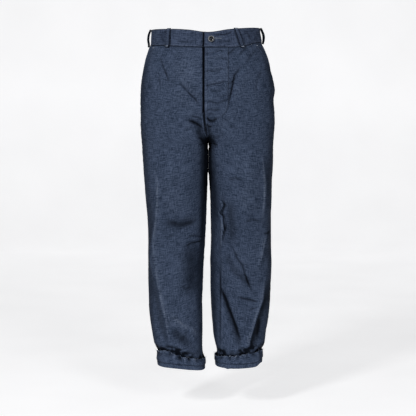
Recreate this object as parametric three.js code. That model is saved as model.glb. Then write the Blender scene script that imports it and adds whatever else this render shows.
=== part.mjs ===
// Straight trousers with a buttoned fly, slanted side pockets, belt loops and turned-up hems,
// in the form they keep when worn standing.
// Millimetres. +Z is up, the front faces -Y, and +X is the wearer's left.
// The origin is the middle of the waist, on the line of the fly, halfway up the waistband.

import * as THREE from 'three';

// Cloth and seams
const CLOTH = 1.6;
const BAND_CLOTH = 2.8;
const LOOP_CLOTH = 2.8;
const SEAM_GAP = 0.3;
const LAYER_GAP = 0.4;

// Heights
const FORK_TOP = -232;
const CROTCH = -293;
const POCKET_END = -168;

// Fly
const FLY_OVERLAP = 11;
const FLY_UNDERLAP = 42;
const FLY_FACING = 56;
const STAND_END = -198;
const OVERLAP_LIFT = 0.9;
const UNDERLAP_DEPTH = 1.1;
const STAND_DEPTH = 1.3;

// Pocket
const MOUTH_WIDTH = 64;
const MOUTH_LIFT = 0.8;
const FACING_TUCK = 14;
const FACING_END = POCKET_END - 14;
const FRONT_WIDTH = 240;

// Places where the waistband is measured
const BAND_LEVEL = -20;
const WAIST_LEVEL = -6;

// Columns of points across each piece
const FRONT_COLUMNS = 22;
const BACK_COLUMNS = 12;
const FACING_COLUMNS = 8;
const STAND_COLUMNS = 5;
const BAND_COLUMNS = 66;

// Half-lengths of the seat at heights from the waist down: to the wearer's right and left,
// to the front and to the back. A larger squareness fills the corners of the section.
const SEAT = [
  { z: 25, right: 156, left: 143.5, front: 112, back: 100, squareness: 2.3 },
  { z: -18, right: 158, left: 149.2, front: 113, back: 102, squareness: 2.3 },
  { z: -30, right: 163.3, left: 155, front: 113.5, back: 105, squareness: 2.35 },
  { z: -45, right: 168.3, left: 161.5, front: 114.5, back: 109, squareness: 2.4 },
  { z: -62, right: 173.6, left: 167.6, front: 115.5, back: 113, squareness: 2.45 },
  { z: -90, right: 179.6, left: 173.3, front: 116.5, back: 119, squareness: 2.5 },
  { z: -118, right: 183.4, left: 179.8, front: 117.5, back: 124, squareness: 2.5 },
  { z: -150, right: 185.6, left: 184.5, front: 118, back: 128, squareness: 2.5 },
  { z: -172, right: 187.4, left: 182.3, front: 118.5, back: 130, squareness: 2.5 },
  { z: -201, right: 187.8, left: 184.7, front: 119, back: 130, squareness: 2.5 },
  { z: -229, right: 187.9, left: 185.9, front: 118.5, back: 128, squareness: 2.5 },
  { z: -257, right: 187, left: 184.7, front: 117.5, back: 125, squareness: 2.5 },
  { z: -293, right: 183.4, left: 182.7, front: 115, back: 119, squareness: 2.5 },
  { z: -341, right: 181, left: 180.9, front: 111, back: 111, squareness: 2.45 },
  { z: -420, right: 176.2, left: 177.3, front: 105, back: 102, squareness: 2.4 },
];

// Sections of each leg: how far the inner and outer sides lie from the middle of the garment,
// the front and back, and how far the seams turn towards the front on the inner side.
const LEGS = {
  right: [
    { z: -160, inner: 1, outer: 186.1, front: 112, back: 124, squareness: 2.3, turn: 0 },
    { z: -232, inner: 1, outer: 187.6, front: 111, back: 123, squareness: 2.3, turn: 0 },
    { z: -293, inner: 0.95, outer: 183.4, front: 109, back: 117, squareness: 2.3, turn: 0 },
    { z: -303, inner: 1.2, outer: 182, front: 108.5, back: 115.5, squareness: 2.3, turn: 0.5 },
    { z: -315, inner: 0.9, outer: 182, front: 108, back: 114, squareness: 2.3, turn: 1 },
    { z: -362, inner: 1, outer: 179.4, front: 106, back: 108.5, squareness: 2.28, turn: 3.5 },
    { z: -397, inner: 2.2, outer: 177.4, front: 104, back: 103, squareness: 2.25, turn: 6 },
    { z: -454, inner: 4.6, outer: 173.2, front: 99, back: 95, squareness: 2.2, turn: 10 },
    { z: -510, inner: 6, outer: 169.1, front: 94, back: 88, squareness: 2.2, turn: 14 },
    { z: -567, inner: 9.4, outer: 167.3, front: 89, back: 83, squareness: 2.15, turn: 18 },
    { z: -624, inner: 12.7, outer: 166.9, front: 85, back: 80, squareness: 2.15, turn: 22 },
    { z: -680, inner: 14.7, outer: 166.8, front: 81, back: 78, squareness: 2.1, turn: 26 },
    { z: -737, inner: 17.2, outer: 166.2, front: 77, back: 77, squareness: 2.1, turn: 30 },
    { z: -794, inner: 15.4, outer: 162, front: 73, back: 77, squareness: 2.1, turn: 33 },
    { z: -823, inner: 15.6, outer: 158, front: 71, back: 76, squareness: 2.1, turn: 34 },
    { z: -852, inner: 16.4, outer: 152.6, front: 68, back: 75, squareness: 2.1, turn: 35 },
    { z: -880, inner: 17, outer: 138.6, front: 65, back: 72, squareness: 2.1, turn: 35 },
    { z: -935, inner: 16, outer: 137.6, front: 62, back: 70, squareness: 2.1, turn: 35 },
  ],
  left: [
    { z: -160, inner: 1, outer: 184.3, front: 112, back: 124, squareness: 2.3, turn: 0 },
    { z: -232, inner: 1, outer: 185.8, front: 111, back: 123, squareness: 2.3, turn: 0 },
    { z: -293, inner: 0.95, outer: 182.7, front: 109, back: 117, squareness: 2.3, turn: 0 },
    { z: -303, inner: 3.6, outer: 182.1, front: 108.5, back: 115.5, squareness: 2.3, turn: 0.5 },
    { z: -315, inner: 1, outer: 182.1, front: 108, back: 114, squareness: 2.3, turn: 1 },
    { z: -362, inner: 1, outer: 180, front: 106, back: 108.5, squareness: 2.28, turn: 3.5 },
    { z: -397, inner: 4, outer: 177.9, front: 104, back: 103, squareness: 2.25, turn: 6 },
    { z: -454, inner: 7.6, outer: 177.3, front: 99, back: 95, squareness: 2.2, turn: 9 },
    { z: -510, inner: 8, outer: 175.5, front: 94, back: 88, squareness: 2.2, turn: 12 },
    { z: -567, inner: 9.5, outer: 177.1, front: 89, back: 83, squareness: 2.15, turn: 15 },
    { z: -624, inner: 6.9, outer: 178.7, front: 85, back: 80, squareness: 2.15, turn: 18 },
    { z: -680, inner: 6.9, outer: 176.1, front: 81, back: 78, squareness: 2.1, turn: 22 },
    { z: -737, inner: 9.3, outer: 173.7, front: 77, back: 77, squareness: 2.1, turn: 26 },
    { z: -794, inner: 12.4, outer: 167.7, front: 73, back: 77, squareness: 2.1, turn: 30 },
    { z: -823, inner: 14.4, outer: 162.2, front: 71, back: 76, squareness: 2.1, turn: 32 },
    { z: -852, inner: 19.2, outer: 159.4, front: 68, back: 75, squareness: 2.1, turn: 33 },
    { z: -880, inner: 27, outer: 147, front: 65, back: 72, squareness: 2.1, turn: 34 },
    { z: -935, inner: 27.6, outer: 147.4, front: 62, back: 70, squareness: 2.1, turn: 34 },
  ],
};

// Lower and upper edge of the waistband. across is the share of the waist's half-width: from the
// middle of the front (0) to the side seam (1) and on to the middle of the back (2).
const BAND_EDGES = {
  right: [
    { across: 0, low: -31, high: 10.5 },
    { across: 0.35, low: -30, high: 17 },
    { across: 0.65, low: -27, high: 19.8 },
    { across: 1, low: -24, high: 20.5 },
    { across: 1.5, low: -24, high: 19 },
    { across: 2, low: -24, high: 17 },
  ],
  left: [
    { across: 0, low: -31, high: 10.5 },
    { across: 0.4, low: -31, high: 18.4 },
    { across: 0.6, low: -28.5, high: 21.2 },
    { across: 0.9, low: -17, high: 24.4 },
    { across: 1, low: -15, high: 24.9 },
    { across: 1.5, low: -19, high: 20.5 },
    { across: 2, low: -24, high: 17 },
  ],
};

// Where the front edges of the two halves run: the left one lies over the right one at the fly,
// and both meet in the crotch seam below it.
const FLY_EDGES = [
  { z: 0, over: -FLY_OVERLAP, under: -1 },
  { z: -198, over: -FLY_OVERLAP, under: -1 },
  { z: -214, over: -FLY_OVERLAP, under: -FLY_OVERLAP },
  { z: FORK_TOP, over: -9.5, under: -9.5 },
  { z: -250, over: -7.6, under: -7.6 },
  { z: -270, over: -4, under: -4 },
  { z: -285, over: -0.8, under: -0.8 },
  { z: CROTCH, over: 1, under: 1 },
];

// The turned-up hems: bottom fold, upper edge and distance from the leg, by degrees around the
// leg from the inner side (0) over the front (90) and the outer side (180) to the back (270).
const CUFFS = {
  right: [
    { degrees: 0, low: -930, high: -899, clear: 8 },
    { degrees: 45, low: -924, high: -892, clear: 7 },
    { degrees: 75, low: -919, high: -880, clear: 8 },
    { degrees: 95, low: -918, high: -868, clear: 9 },
    { degrees: 120, low: -918, high: -872, clear: 6.5 },
    { degrees: 150, low: -919, high: -881, clear: 4.6 },
    { degrees: 180, low: -920, high: -885, clear: 4.4 },
    { degrees: 225, low: -923, high: -888, clear: 5.5 },
    { degrees: 270, low: -926, high: -891, clear: 7 },
    { degrees: 320, low: -929, high: -896, clear: 6.5 },
    { degrees: 360, low: -930, high: -899, clear: 8 },
  ],
  left: [
    { degrees: 0, low: -920, high: -890, clear: 6.5 },
    { degrees: 45, low: -920, high: -886, clear: 7 },
    { degrees: 80, low: -918.5, high: -880, clear: 7 },
    { degrees: 105, low: -917, high: -879, clear: 8.5 },
    { degrees: 125, low: -910, high: -873, clear: 7.5 },
    { degrees: 150, low: -911, high: -878, clear: 5.5 },
    { degrees: 180, low: -914, high: -883, clear: 5.5 },
    { degrees: 225, low: -918, high: -887, clear: 6 },
    { degrees: 270, low: -921, high: -888, clear: 6 },
    { degrees: 320, low: -920, high: -892, clear: 7 },
    { degrees: 360, low: -920, high: -890, clear: 6.5 },
  ],
};

// The largest folds. x is as seen from the front, z downwards. A fold rises by lift, or sinks
// where lift is negative. It is width wide, and sharper by lean on its +X side.
const FOLDS = [
  {
    side: 'right', face: 'front', x: [-157, -145, -138, -136],
    z: [-340, -445, -500, -560], width: 11, lift: 5, lean: 1.4,
  },
  {
    side: 'right', face: 'front', x: [-138, -127, -124],
    z: [-420, -500, -570], width: 13, lift: -3.5, lean: 1,
  },
  {
    side: 'right', face: 'front', x: [-149, -157, -154, -131, -122, -114, -104],
    z: [-520, -584, -610, -737, -774, -814, -868], width: 10, lift: 6, lean: 1.6,
  },
  {
    side: 'right', face: 'front', x: [-148, -146, -139, -128],
    z: [-650, -720, -790, -850], width: 13, lift: -5, lean: 1,
  },
  {
    side: 'right', face: 'front', x: [-122, -70, -22],
    z: [-512, -521, -512], width: 17, lift: -3.5, lean: 0.8,
  },
  {
    side: 'right', face: 'front', x: [-60, -46, -40, -38],
    z: [-575, -620, -665, -730], width: 25, lift: -6, lean: 0.8,
  },
  {
    side: 'right', face: 'front', x: [-124, -82, -44, -30],
    z: [-758, -799, -822, -842], width: 13, lift: 6, lean: 1,
  },
  {
    side: 'right', face: 'front', x: [-98, -70, -50],
    z: [-812, -834, -858], width: 19, lift: -7, lean: 1,
  },
  {
    side: 'right', face: 'front', x: [-100, -82, -58, -18],
    z: [-105, -125, -146, -192], width: 11, lift: -3, lean: 0.8,
  },
  {
    side: 'right', face: 'front', x: [-62, -40, -14],
    z: [-206, -222, -240], width: 11, lift: 3.5, lean: 1,
  },
  {
    side: 'right', face: 'front', x: [-70, -48, -24],
    z: [-262, -255, -250], width: 12, lift: -3.5, lean: 1,
  },
  {
    side: 'right', face: 'front', x: [-100, -98, -92],
    z: [-330, -430, -520], width: 30, lift: 3, lean: 1,
  },
  {
    side: 'left', face: 'front', x: [47, 42, 44, 42],
    z: [-425, -496, -560, -650], width: 9, lift: 8, lean: 0.9,
  },
  {
    side: 'left', face: 'front', x: [62, 58, 62, 66],
    z: [-430, -500, -560, -620], width: 13, lift: -9, lean: 1.7,
  },
  {
    side: 'left', face: 'front', x: [66, 95, 114, 124],
    z: [-580, -641, -695, -730], width: 12, lift: -5.5, lean: 1.2,
  },
  {
    side: 'left', face: 'front', x: [30, 36, 49, 65, 77, 90, 92],
    z: [-612, -703, -737, -779, -810, -849, -876], width: 11, lift: -6.5, lean: 1.3,
  },
  {
    side: 'left', face: 'front', x: [151, 160, 151],
    z: [-327, -454, -527], width: 11, lift: 4, lean: 1.3,
  },
  {
    side: 'left', face: 'front', x: [158, 153, 142],
    z: [-540, -573, -660], width: 11, lift: 4.5, lean: 1.3,
  },
  {
    side: 'left', face: 'front', x: [163, 148, 130, 114, 106],
    z: [-652, -737, -800, -846, -878], width: 10, lift: 7, lean: 1.7,
  },
  {
    side: 'left', face: 'front', x: [150, 139, 128],
    z: [-775, -815, -862], width: 13, lift: -6.5, lean: 1,
  },
  {
    side: 'left', face: 'front', x: [97, 76, 67, 58],
    z: [-76, -112, -146, -200], width: 10, lift: -4.5, lean: 1.3,
  },
  {
    side: 'left', face: 'front', x: [112, 92, 82, 72],
    z: [-80, -120, -150, -200], width: 12, lift: 2.5, lean: 1,
  },
  {
    side: 'left', face: 'front', x: [62, 36, 14],
    z: [-212, -228, -250], width: 11, lift: 3, lean: 1,
  },
  {
    side: 'left', face: 'front', x: [112, 108, 100],
    z: [-300, -400, -520], width: 28, lift: 3, lean: 1,
  },
  {
    side: 'right', face: 'back', x: [-30, -75, -130],
    z: [-262, -232, -205], width: 15, lift: -5, lean: 1,
  },
  {
    side: 'right', face: 'back', x: [-35, -80, -135],
    z: [-300, -322, -316], width: 16, lift: -5, lean: 1,
  },
  {
    side: 'right', face: 'back', x: [-40, -92, -140],
    z: [-530, -545, -525], width: 15, lift: -6, lean: 1,
  },
  {
    side: 'right', face: 'back', x: [-60, -66, -52],
    z: [-590, -690, -790], width: 16, lift: 6, lean: 1.3,
  },
  {
    side: 'right', face: 'back', x: [-118, -112, -120],
    z: [-600, -720, -860], width: 16, lift: -6, lean: 1,
  },
  {
    side: 'left', face: 'back', x: [30, 75, 130],
    z: [-258, -236, -212], width: 15, lift: -5, lean: 1,
  },
  {
    side: 'left', face: 'back', x: [35, 82, 135],
    z: [-306, -318, -326], width: 16, lift: -5, lean: 1,
  },
  {
    side: 'left', face: 'back', x: [38, 86, 145],
    z: [-520, -548, -540], width: 15, lift: -6, lean: 1,
  },
  {
    side: 'left', face: 'back', x: [72, 66, 80],
    z: [-585, -700, -800], width: 16, lift: -6, lean: 1.3,
  },
  {
    side: 'left', face: 'back', x: [120, 126, 112],
    z: [-600, -730, -860], width: 16, lift: 6, lean: 1,
  },
];

// Belt loops: places of the top and the bottom, in millimetres from the middle of the front or
// as places around the waist, and how far the loop bows out.
const LOOPS = [
  { name: 'belt_loop_front_right', side: 'right', fromMiddle: [104.5, 104.5], bow: 7 },
  { name: 'belt_loop_front_left', side: 'left', fromMiddle: [75, 87], bow: 7 },
  { name: 'belt_loop_side_right', side: 'right', around: [0.5, 0.5], bow: 6 },
  { name: 'belt_loop_side_left', side: 'left', around: [0.5, 0.5], bow: 6 },
  { name: 'belt_loop_back', side: 'right', around: [1, 1], bow: 5.5 },
];
const LOOP_WIDTH = 11;
const LOOP_REACH = 3;

// Waist button
const BUTTON = {
  x: 8.4, z: -8.2, radius: 8.4, thickness: 3, shank: 3, rise: 1.2, bevel: 0.9, rim: 2.2, dish: 1.1,
};

// Colours
const NAVY = '#3a475d';
const NAVY_BAND = '#3b485f';
const CLOTH_ROUGHNESS = 0.9;
const BUTTON_GREY = '#3c4043';
const BUTTON_ROUGHNESS = 0.35;
const BUTTON_METALNESS = 0.3;

function clamp(value, low, high) {
  return Math.min(high, Math.max(low, value));
}

function mix(from, to, share) {
  return from + (to - from) * share;
}

function smooth(from, to, value) {
  const share = clamp((value - from) / (to - from), 0, 1);
  return share * share * (3 - 2 * share);
}

// Reads one named column of a table as a smooth curve over the key column.
function readTable(rows, key, column, at) {
  const rising = rows[rows.length - 1][key] > rows[0][key];
  const sign = rising ? 1 : -1;
  const place = clamp(at * sign, rows[0][key] * sign, rows[rows.length - 1][key] * sign);
  let index = 0;
  while (index < rows.length - 2 && rows[index + 1][key] * sign < place) {
    index += 1;
  }
  const slope = (left, right) => (rows[right][column] - rows[left][column])
    / ((rows[right][key] - rows[left][key]) * sign);
  const tangent = (middle) => {
    if (middle === 0 || middle === rows.length - 1) {
      return 0;
    }
    const before = slope(middle - 1, middle);
    const after = slope(middle, middle + 1);
    return before * after > 0 ? 2 * before * after / (before + after) : 0;
  };
  const span = (rows[index + 1][key] - rows[index][key]) * sign;
  const share = (place - rows[index][key] * sign) / span;
  const square = share * share;
  const cube = square * share;
  return (2 * cube - 3 * square + 1) * rows[index][column]
    + (cube - 2 * square + share) * span * tangent(index)
    + (3 * square - 2 * cube) * rows[index + 1][column]
    + (cube - square) * span * tangent(index + 1);
}

function power(value, squareness) {
  return Math.sign(value) * Math.abs(value) ** (2 / squareness);
}

const SIGN = { right: -1, left: 1 };

// The seat's section: around runs from the front (0) over the side (0.5) to the back (1).
function seatPoint(side, around, z, edge) {
  const front = around <= 0.5;
  const step = front ? around : 1 - around;
  const angle = Math.PI / 2 * (2 * step) ** 1.6;
  const squareness = readTable(SEAT, 'z', 'squareness', z);
  const half = readTable(SEAT, 'z', side, z) * SIGN[side];
  const start = front ? edge : 0;
  const deep = readTable(SEAT, 'z', front ? 'front' : 'back', z);
  const x = start + (half - start) * power(Math.sin(angle), squareness);
  const rest = Math.max(1 - Math.abs(x / half) ** squareness, 0) ** (1 / squareness);
  return new THREE.Vector2(x, (front ? -deep : deep) * rest);
}

// A leg's section: around runs from the inner seam (0) over the front to the outer seam (0.5)
// and on over the back to the inner seam again (1).
function legPoint(side, around, z) {
  const rows = LEGS[side];
  const inner = readTable(rows, 'z', 'inner', z);
  const outer = readTable(rows, 'z', 'outer', z);
  const squareness = readTable(rows, 'z', 'squareness', z);
  const turn = THREE.MathUtils.degToRad(readTable(rows, 'z', 'turn', z));
  const degrees = legDegrees(around);
  const angle = THREE.MathUtils.degToRad(degrees) + turn * (1 - Math.abs(degrees - 180) / 360);
  const deep = readTable(rows, 'z', Math.sin(angle) >= 0 ? 'front' : 'back', z);
  const middle = (inner + outer) / 2;
  const half = (outer - inner) / 2;
  return new THREE.Vector2(
    SIGN[side] * (middle - half * power(Math.cos(angle), squareness)),
    -deep * power(Math.sin(angle), squareness),
  );
}

function legDegrees(around) {
  const step = around <= 0.5 ? around : 1 - around;
  const degrees = 180 * (2 * Math.max(step, 0)) ** 0.85;
  return around <= 0.5 ? degrees : 360 - degrees;
}

// How far the seat's section has become the leg's: fast along the crotch seam, slow elsewhere.
function legShare(around, z) {
  const nearSeam = 1 - smooth(0, 0.1, Math.min(around, 1 - around));
  const drop = clamp((FORK_TOP - z) / (FORK_TOP - CROTCH), 0, 1);
  const alongSeam = 1 - Math.sqrt(1 - drop * drop);
  const elsewhere = smooth(FORK_TOP + 40, CROTCH - 100, z);
  return mix(elsewhere, alongSeam, nearSeam);
}

// The section of one half at a height, without folds.
function section(side, around, z, edge) {
  const share = legShare(around, z);
  const leg = legPoint(side, around, z);
  if (share >= 1) {
    return leg;
  }
  return seatPoint(side, around, z, edge).lerp(leg, share);
}

function seamEdge(side, z) {
  return readTable(FLY_EDGES, 'z', side === 'left' ? 'over' : 'under', z);
}

// Unit vector that points out of the section.
function outwards(side, around, z, edge) {
  const step = 0.004;
  const before = section(side, clamp(around - step, 0, 1), z, edge);
  const after = section(side, clamp(around + step, 0, 1), z, edge);
  const along = after.sub(before).normalize();
  return new THREE.Vector2(along.y, -along.x).multiplyScalar(SIGN[side]);
}

// Height of one fold at a place seen from its face.
function foldLift(fold, x, z) {
  let nearest = Infinity;
  let signed = 0;
  let place = 0;
  const last = fold.x.length - 1;
  for (let index = 0; index < last; index += 1) {
    const start = new THREE.Vector2(fold.x[index], fold.z[index]);
    const along = new THREE.Vector2(fold.x[index + 1], fold.z[index + 1]).sub(start);
    const offset = new THREE.Vector2(x, z).sub(start);
    const share = clamp(offset.dot(along) / along.lengthSq(), 0, 1);
    const away = offset.sub(along.clone().multiplyScalar(share));
    if (away.length() < nearest) {
      nearest = away.length();
      signed = along.x * away.y - along.y * away.x;
      place = (index + share) / last;
    }
  }
  const width = signed > 0 ? fold.width * fold.lean : fold.width;
  const ends = smooth(0, 0.22, place) * smooth(1, 0.78, place);
  return fold.lift * ends * Math.exp(-((nearest / width) ** 2));
}

// All the folds at a place of one half. They fade towards the silhouette and in the cuffs.
function foldsAt(side, point, out, z) {
  const facing = { front: smooth(0.08, 0.5, -out.y), back: smooth(0.08, 0.5, out.y) };
  let lift = 0;
  for (const fold of FOLDS) {
    if (fold.side === side && facing[fold.face] > 0) {
      lift += facing[fold.face] * foldLift(fold, point.x, z);
    }
  }
  return lift * mix(0.35, 1, smooth(-885, -850, z));
}

// The stations of a panel from the waist (0) over the top of the crotch seam (1), the crotch (2)
// and the hem's fold (3) to the turned-up edge (4).
const STATIONS = [
  ...Array.from({ length: 12 }, (_, index) => index / 12),
  ...[0, 0.24, 0.46, 0.64, 0.8, 0.92].map((share) => 1 + share),
  ...[0, 0.018].map((share) => 2 + share),
  ...Array.from({ length: 19 }, (_, index) => 2.055 + 0.945 * index / 19),
  ...[0, 0.08, 0.16, 0.24, 0.32, 0.54, 0.77, 1].map((share) => 3 + share),
];
const HEM_FOLD_SHARE = 0.32;
const HEM_FOLD_DROP = 3;

// The waistband's edge above or below a place around the waist.
function bandEdge(side, around, column) {
  const edge = around <= 0.5 ? seamEdge(side, BAND_LEVEL) : 0;
  const { x } = seatPoint(side, around, BAND_LEVEL, edge);
  const share = Math.max(x / (readTable(SEAT, 'z', side, BAND_LEVEL) * SIGN[side]), 0);
  return bandEdgeAcross(side, around <= 0.5 ? share : 2 - share, column);
}

function bandEdgeAcross(side, across, column) {
  return readTable(BAND_EDGES[side], 'across', column, across);
}

function cuff(side, around, column) {
  return readTable(CUFFS[side], 'degrees', column, legDegrees(around));
}

// Height at a station, and how far the cloth stands off the leg there.
function heightAt(side, around, station) {
  const top = bandEdge(side, around, 'low') - SEAM_GAP;
  const hem = cuff(side, around, 'low') + HEM_FOLD_DROP;
  if (station <= 1) {
    return { z: mix(top, FORK_TOP, station), clear: 0 };
  }
  if (station <= 2) {
    return { z: mix(FORK_TOP, CROTCH, Math.sin((station - 1) * Math.PI / 2)), clear: 0 };
  }
  if (station <= 3) {
    return { z: mix(CROTCH, hem, station - 2), clear: 0 };
  }
  const share = station - 3;
  const clear = cuff(side, around, 'clear');
  if (share <= HEM_FOLD_SHARE) {
    const angle = Math.PI * share / HEM_FOLD_SHARE;
    return { z: hem - HEM_FOLD_DROP * Math.sin(angle), clear: clear / 2 * (1 - Math.cos(angle)) };
  }
  const rise = (share - HEM_FOLD_SHARE) / (1 - HEM_FOLD_SHARE);
  const bulge = 1 + 0.12 * Math.sin(rise * Math.PI);
  return { z: mix(hem, cuff(side, around, 'high'), rise), clear: clear * bulge };
}

// How far a piece's layer lies outside the plain section.
const LAYERS = {
  front_right: (side, point, z, fromMouth) => mouthLift(fromMouth, z) - underFly(point.x, z),
  front_left: (side, point, z, fromMouth) => mouthLift(fromMouth, z) + overFly(point.x, z),
  back: () => 0,
};

function underFly(x, z) {
  return UNDERLAP_DEPTH * smooth(-34, -14, x) * smooth(FORK_TOP - 2, FORK_TOP + 14, z);
}

function overFly(x, z) {
  const onFacing = smooth(FLY_FACING + 12, FLY_UNDERLAP + 2, x);
  return OVERLAP_LIFT * onFacing * smooth(FORK_TOP - 2, FORK_TOP + 14, z);
}

function mouthLift(fromMouth, z) {
  return MOUTH_LIFT * smooth(26, 4, fromMouth) * smooth(POCKET_END - 4, POCKET_END + 30, z);
}

// A place on the middle of the cloth.
function clothPoint(side, around, station, layer, fromMouth = Infinity) {
  const { z, clear } = heightAt(side, around, station);
  const edge = seamEdge(side, z);
  const point = section(side, around, z, edge);
  const out = outwards(side, around, z, edge);
  const lift = foldsAt(side, point, out, z) + clear + layer(side, point, z, fromMouth);
  return new THREE.Vector3(point.x + out.x * lift, point.y + out.y * lift, z);
}

// The cloth's outward direction, from its slope along both directions.
function clothNormal(side, around, station, layer, fromMouth) {
  const across = 0.003;
  const down = 0.004;
  const left = clothPoint(side, Math.max(around - across, 0), station, layer, fromMouth);
  const right = clothPoint(side, Math.min(around + across, 1), station, layer, fromMouth);
  const above = clothPoint(side, around, Math.max(station - down, 0), layer, fromMouth);
  const below = clothPoint(side, around, Math.min(station + down, 4), layer, fromMouth);
  const alongAround = right.sub(left);
  const alongDown = below.sub(above);
  return alongDown.cross(alongAround).multiplyScalar(SIGN[side]).normalize();
}

// Under the waistband the cloth's edge is level.
function level(normal) {
  return normal.setZ(0).normalize();
}

// On the crotch seam the cloth is square to the seam's run, so the halves stay side by side.
function crotchSeamNormal(side, around, station, layer) {
  const above = clothPoint(side, around, station - 0.004, layer);
  const below = clothPoint(side, around, station, layer);
  const run = below.sub(above);
  const turn = around < 0.5 ? 1 : -1;
  return new THREE.Vector3(0, run.z * turn, -run.y * turn).normalize();
}

// Place around the seat that lies a distance in front of the side seam, measured on the cloth.
function aroundAtDistance(side, z, distance) {
  const step = 0.002;
  let around = 0.5;
  let walked = 0;
  let last = section(side, around, z, 0);
  while (walked < distance) {
    around -= step;
    const next = section(side, around, z, 0);
    const length = next.distanceTo(last);
    if (walked + length > distance) {
      return around + step * (1 - (distance - walked) / length);
    }
    walked += length;
    last = next;
  }
  return around;
}

function mouthWidth(z) {
  return MOUTH_WIDTH * clamp((z - POCKET_END) / (-20 - POCKET_END), 0, 1.2);
}

// A closed wall on both sides of a grid of places, each with its own outward direction.
function wall(name, color, grid, thickness, keepClear = (point) => point) {
  const rows = grid.length;
  const columns = grid[0].length;
  const positions = [];
  for (const offset of [thickness / 2, -thickness / 2]) {
    for (const row of grid) {
      for (const { point, normal } of row) {
        const moved = keepClear(point.clone().addScaledVector(normal, offset));
        positions.push(moved.x, moved.y, moved.z);
      }
    }
  }
  const layerSize = rows * columns;
  const at = (layer, row, column) => layer * layerSize + row * columns + column;
  const faces = [];
  const quad = (a, b, c, d) => faces.push(a, b, c, a, c, d);
  for (let row = 0; row < rows - 1; row += 1) {
    for (let column = 0; column < columns - 1; column += 1) {
      const next = column + 1;
      quad(at(0, row, column), at(0, row + 1, column), at(0, row + 1, next), at(0, row, next));
      quad(at(1, row, column), at(1, row, next), at(1, row + 1, next), at(1, row + 1, column));
    }
  }
  const lastRow = rows - 1;
  const lastColumn = columns - 1;
  for (let column = 0; column < lastColumn; column += 1) {
    const next = column + 1;
    quad(at(0, 0, column), at(0, 0, next), at(1, 0, next), at(1, 0, column));
    quad(at(0, lastRow, next), at(0, lastRow, column), at(1, lastRow, column), at(1, lastRow, next));
  }
  for (let row = 0; row < lastRow; row += 1) {
    const next = row + 1;
    quad(at(0, next, 0), at(0, row, 0), at(1, row, 0), at(1, next, 0));
    quad(at(0, row, lastColumn), at(0, next, lastColumn), at(1, next, lastColumn), at(1, row, lastColumn));
  }
  return solid(name, color, positions, faces);
}

// A named mesh whose faces point out.
function solid(name, color, positions, faces) {
  const corner = (index) => new THREE.Vector3().fromArray(positions, index * 3);
  let volume = 0;
  for (let index = 0; index < faces.length; index += 3) {
    const [a, b, c] = faces.slice(index, index + 3).map(corner);
    volume += a.dot(b.cross(c));
  }
  const ordered = volume > 0 ? faces : faces.slice().reverse();
  const geometry = new THREE.BufferGeometry();
  geometry.setAttribute('position', new THREE.Float32BufferAttribute(positions, 3));
  geometry.setIndex(ordered);
  geometry.computeVertexNormals();
  const material = new THREE.MeshStandardMaterial({ color, roughness: CLOTH_ROUGHNESS, metalness: 0 });
  const mesh = new THREE.Mesh(geometry, material);
  mesh.name = name;
  return mesh;
}

// One panel: a front or a back, from the waistband to the turned-up hem.
function panel(name, side, face, columns) {
  const layer = face === 'front' ? LAYERS[name] : LAYERS.back;
  const first = face === 'front' ? 0 : 1;
  const grid = STATIONS.map((station) => {
    const middle = heightAt(side, 0.4, station).z;
    const mouth = face === 'front' && station < 1 ? mouthWidth(middle) : 0;
    const outer = mouth > 0 ? aroundAtDistance(side, middle, mouth) : 0.5;
    const row = [];
    for (let column = 0; column < columns; column += 1) {
      const share = column / (columns - 1);
      const around = mix(first, outer, share);
      const fromMouth = (1 - share) * FRONT_WIDTH;
      const point = clothPoint(side, around, station, layer, fromMouth);
      const onCrotchSeam = column === 0 && station > 1 && station <= 2;
      const normal = onCrotchSeam
        ? crotchSeamNormal(side, around, station, layer)
        : clothNormal(side, around, station, layer, fromMouth);
      row.push({ point, normal: station === 0 ? level(normal) : normal });
    }
    drawInEdges(row);
    return row;
  });
  return wall(name, NAVY, grid, CLOTH, (point) => keepOnSide(side, face, point));
}

// Leaves half the seam gap at both ends of a row.
function drawInEdges(row) {
  const last = row.length - 1;
  const inFrom = (end, next) => {
    const step = row[next].point.clone().sub(row[end].point).normalize();
    row[end].point.addScaledVector(step, SEAM_GAP / 2);
  };
  inFrom(0, 1);
  inFrom(last, last - 1);
}

// Below the fly and at the back, each half stays on its own side of the middle seam.
function keepOnSide(side, face, point) {
  if (face === 'front' && point.z > FORK_TOP + 1) {
    return point;
  }
  const aside = face === 'front' ? 1 : smooth(FORK_TOP - 20, CROTCH, point.z);
  const seam = seamEdge(side, Math.min(point.z, FORK_TOP)) * aside;
  const reach = Math.max((point.x - seam) * SIGN[side], SEAM_GAP / 2);
  point.x = seam + reach * SIGN[side];
  return point;
}

// The cloth seen inside a pocket's mouth, set back behind the front's slanted edge.
function pocketFacing(name, side) {
  const rows = 13;
  const grid = [];
  for (let index = 0; index < rows; index += 1) {
    const top = bandEdge(side, 0.4, 'low') - SEAM_GAP;
    const height = mix(top, FACING_END, index / (rows - 1));
    const station = (top - height) / (top - FORK_TOP);
    const inner = aroundAtDistance(side, height, mouthWidth(height) + FACING_TUCK);
    const row = [];
    for (let column = 0; column < FACING_COLUMNS; column += 1) {
      const share = column / (FACING_COLUMNS - 1);
      const around = mix(inner, 0.5, share);
      const distance = (1 - share) * (mouthWidth(height) + FACING_TUCK);
      const layer = () => facingDepth(distance, height);
      const point = clothPoint(side, around, station, layer);
      const normal = clothNormal(side, around, station, layer);
      row.push({ point, normal: index === 0 ? level(normal) : normal });
    }
    drawInEdges(row);
    grid.push(row);
  }
  return wall(name, NAVY, grid, CLOTH);
}

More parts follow.
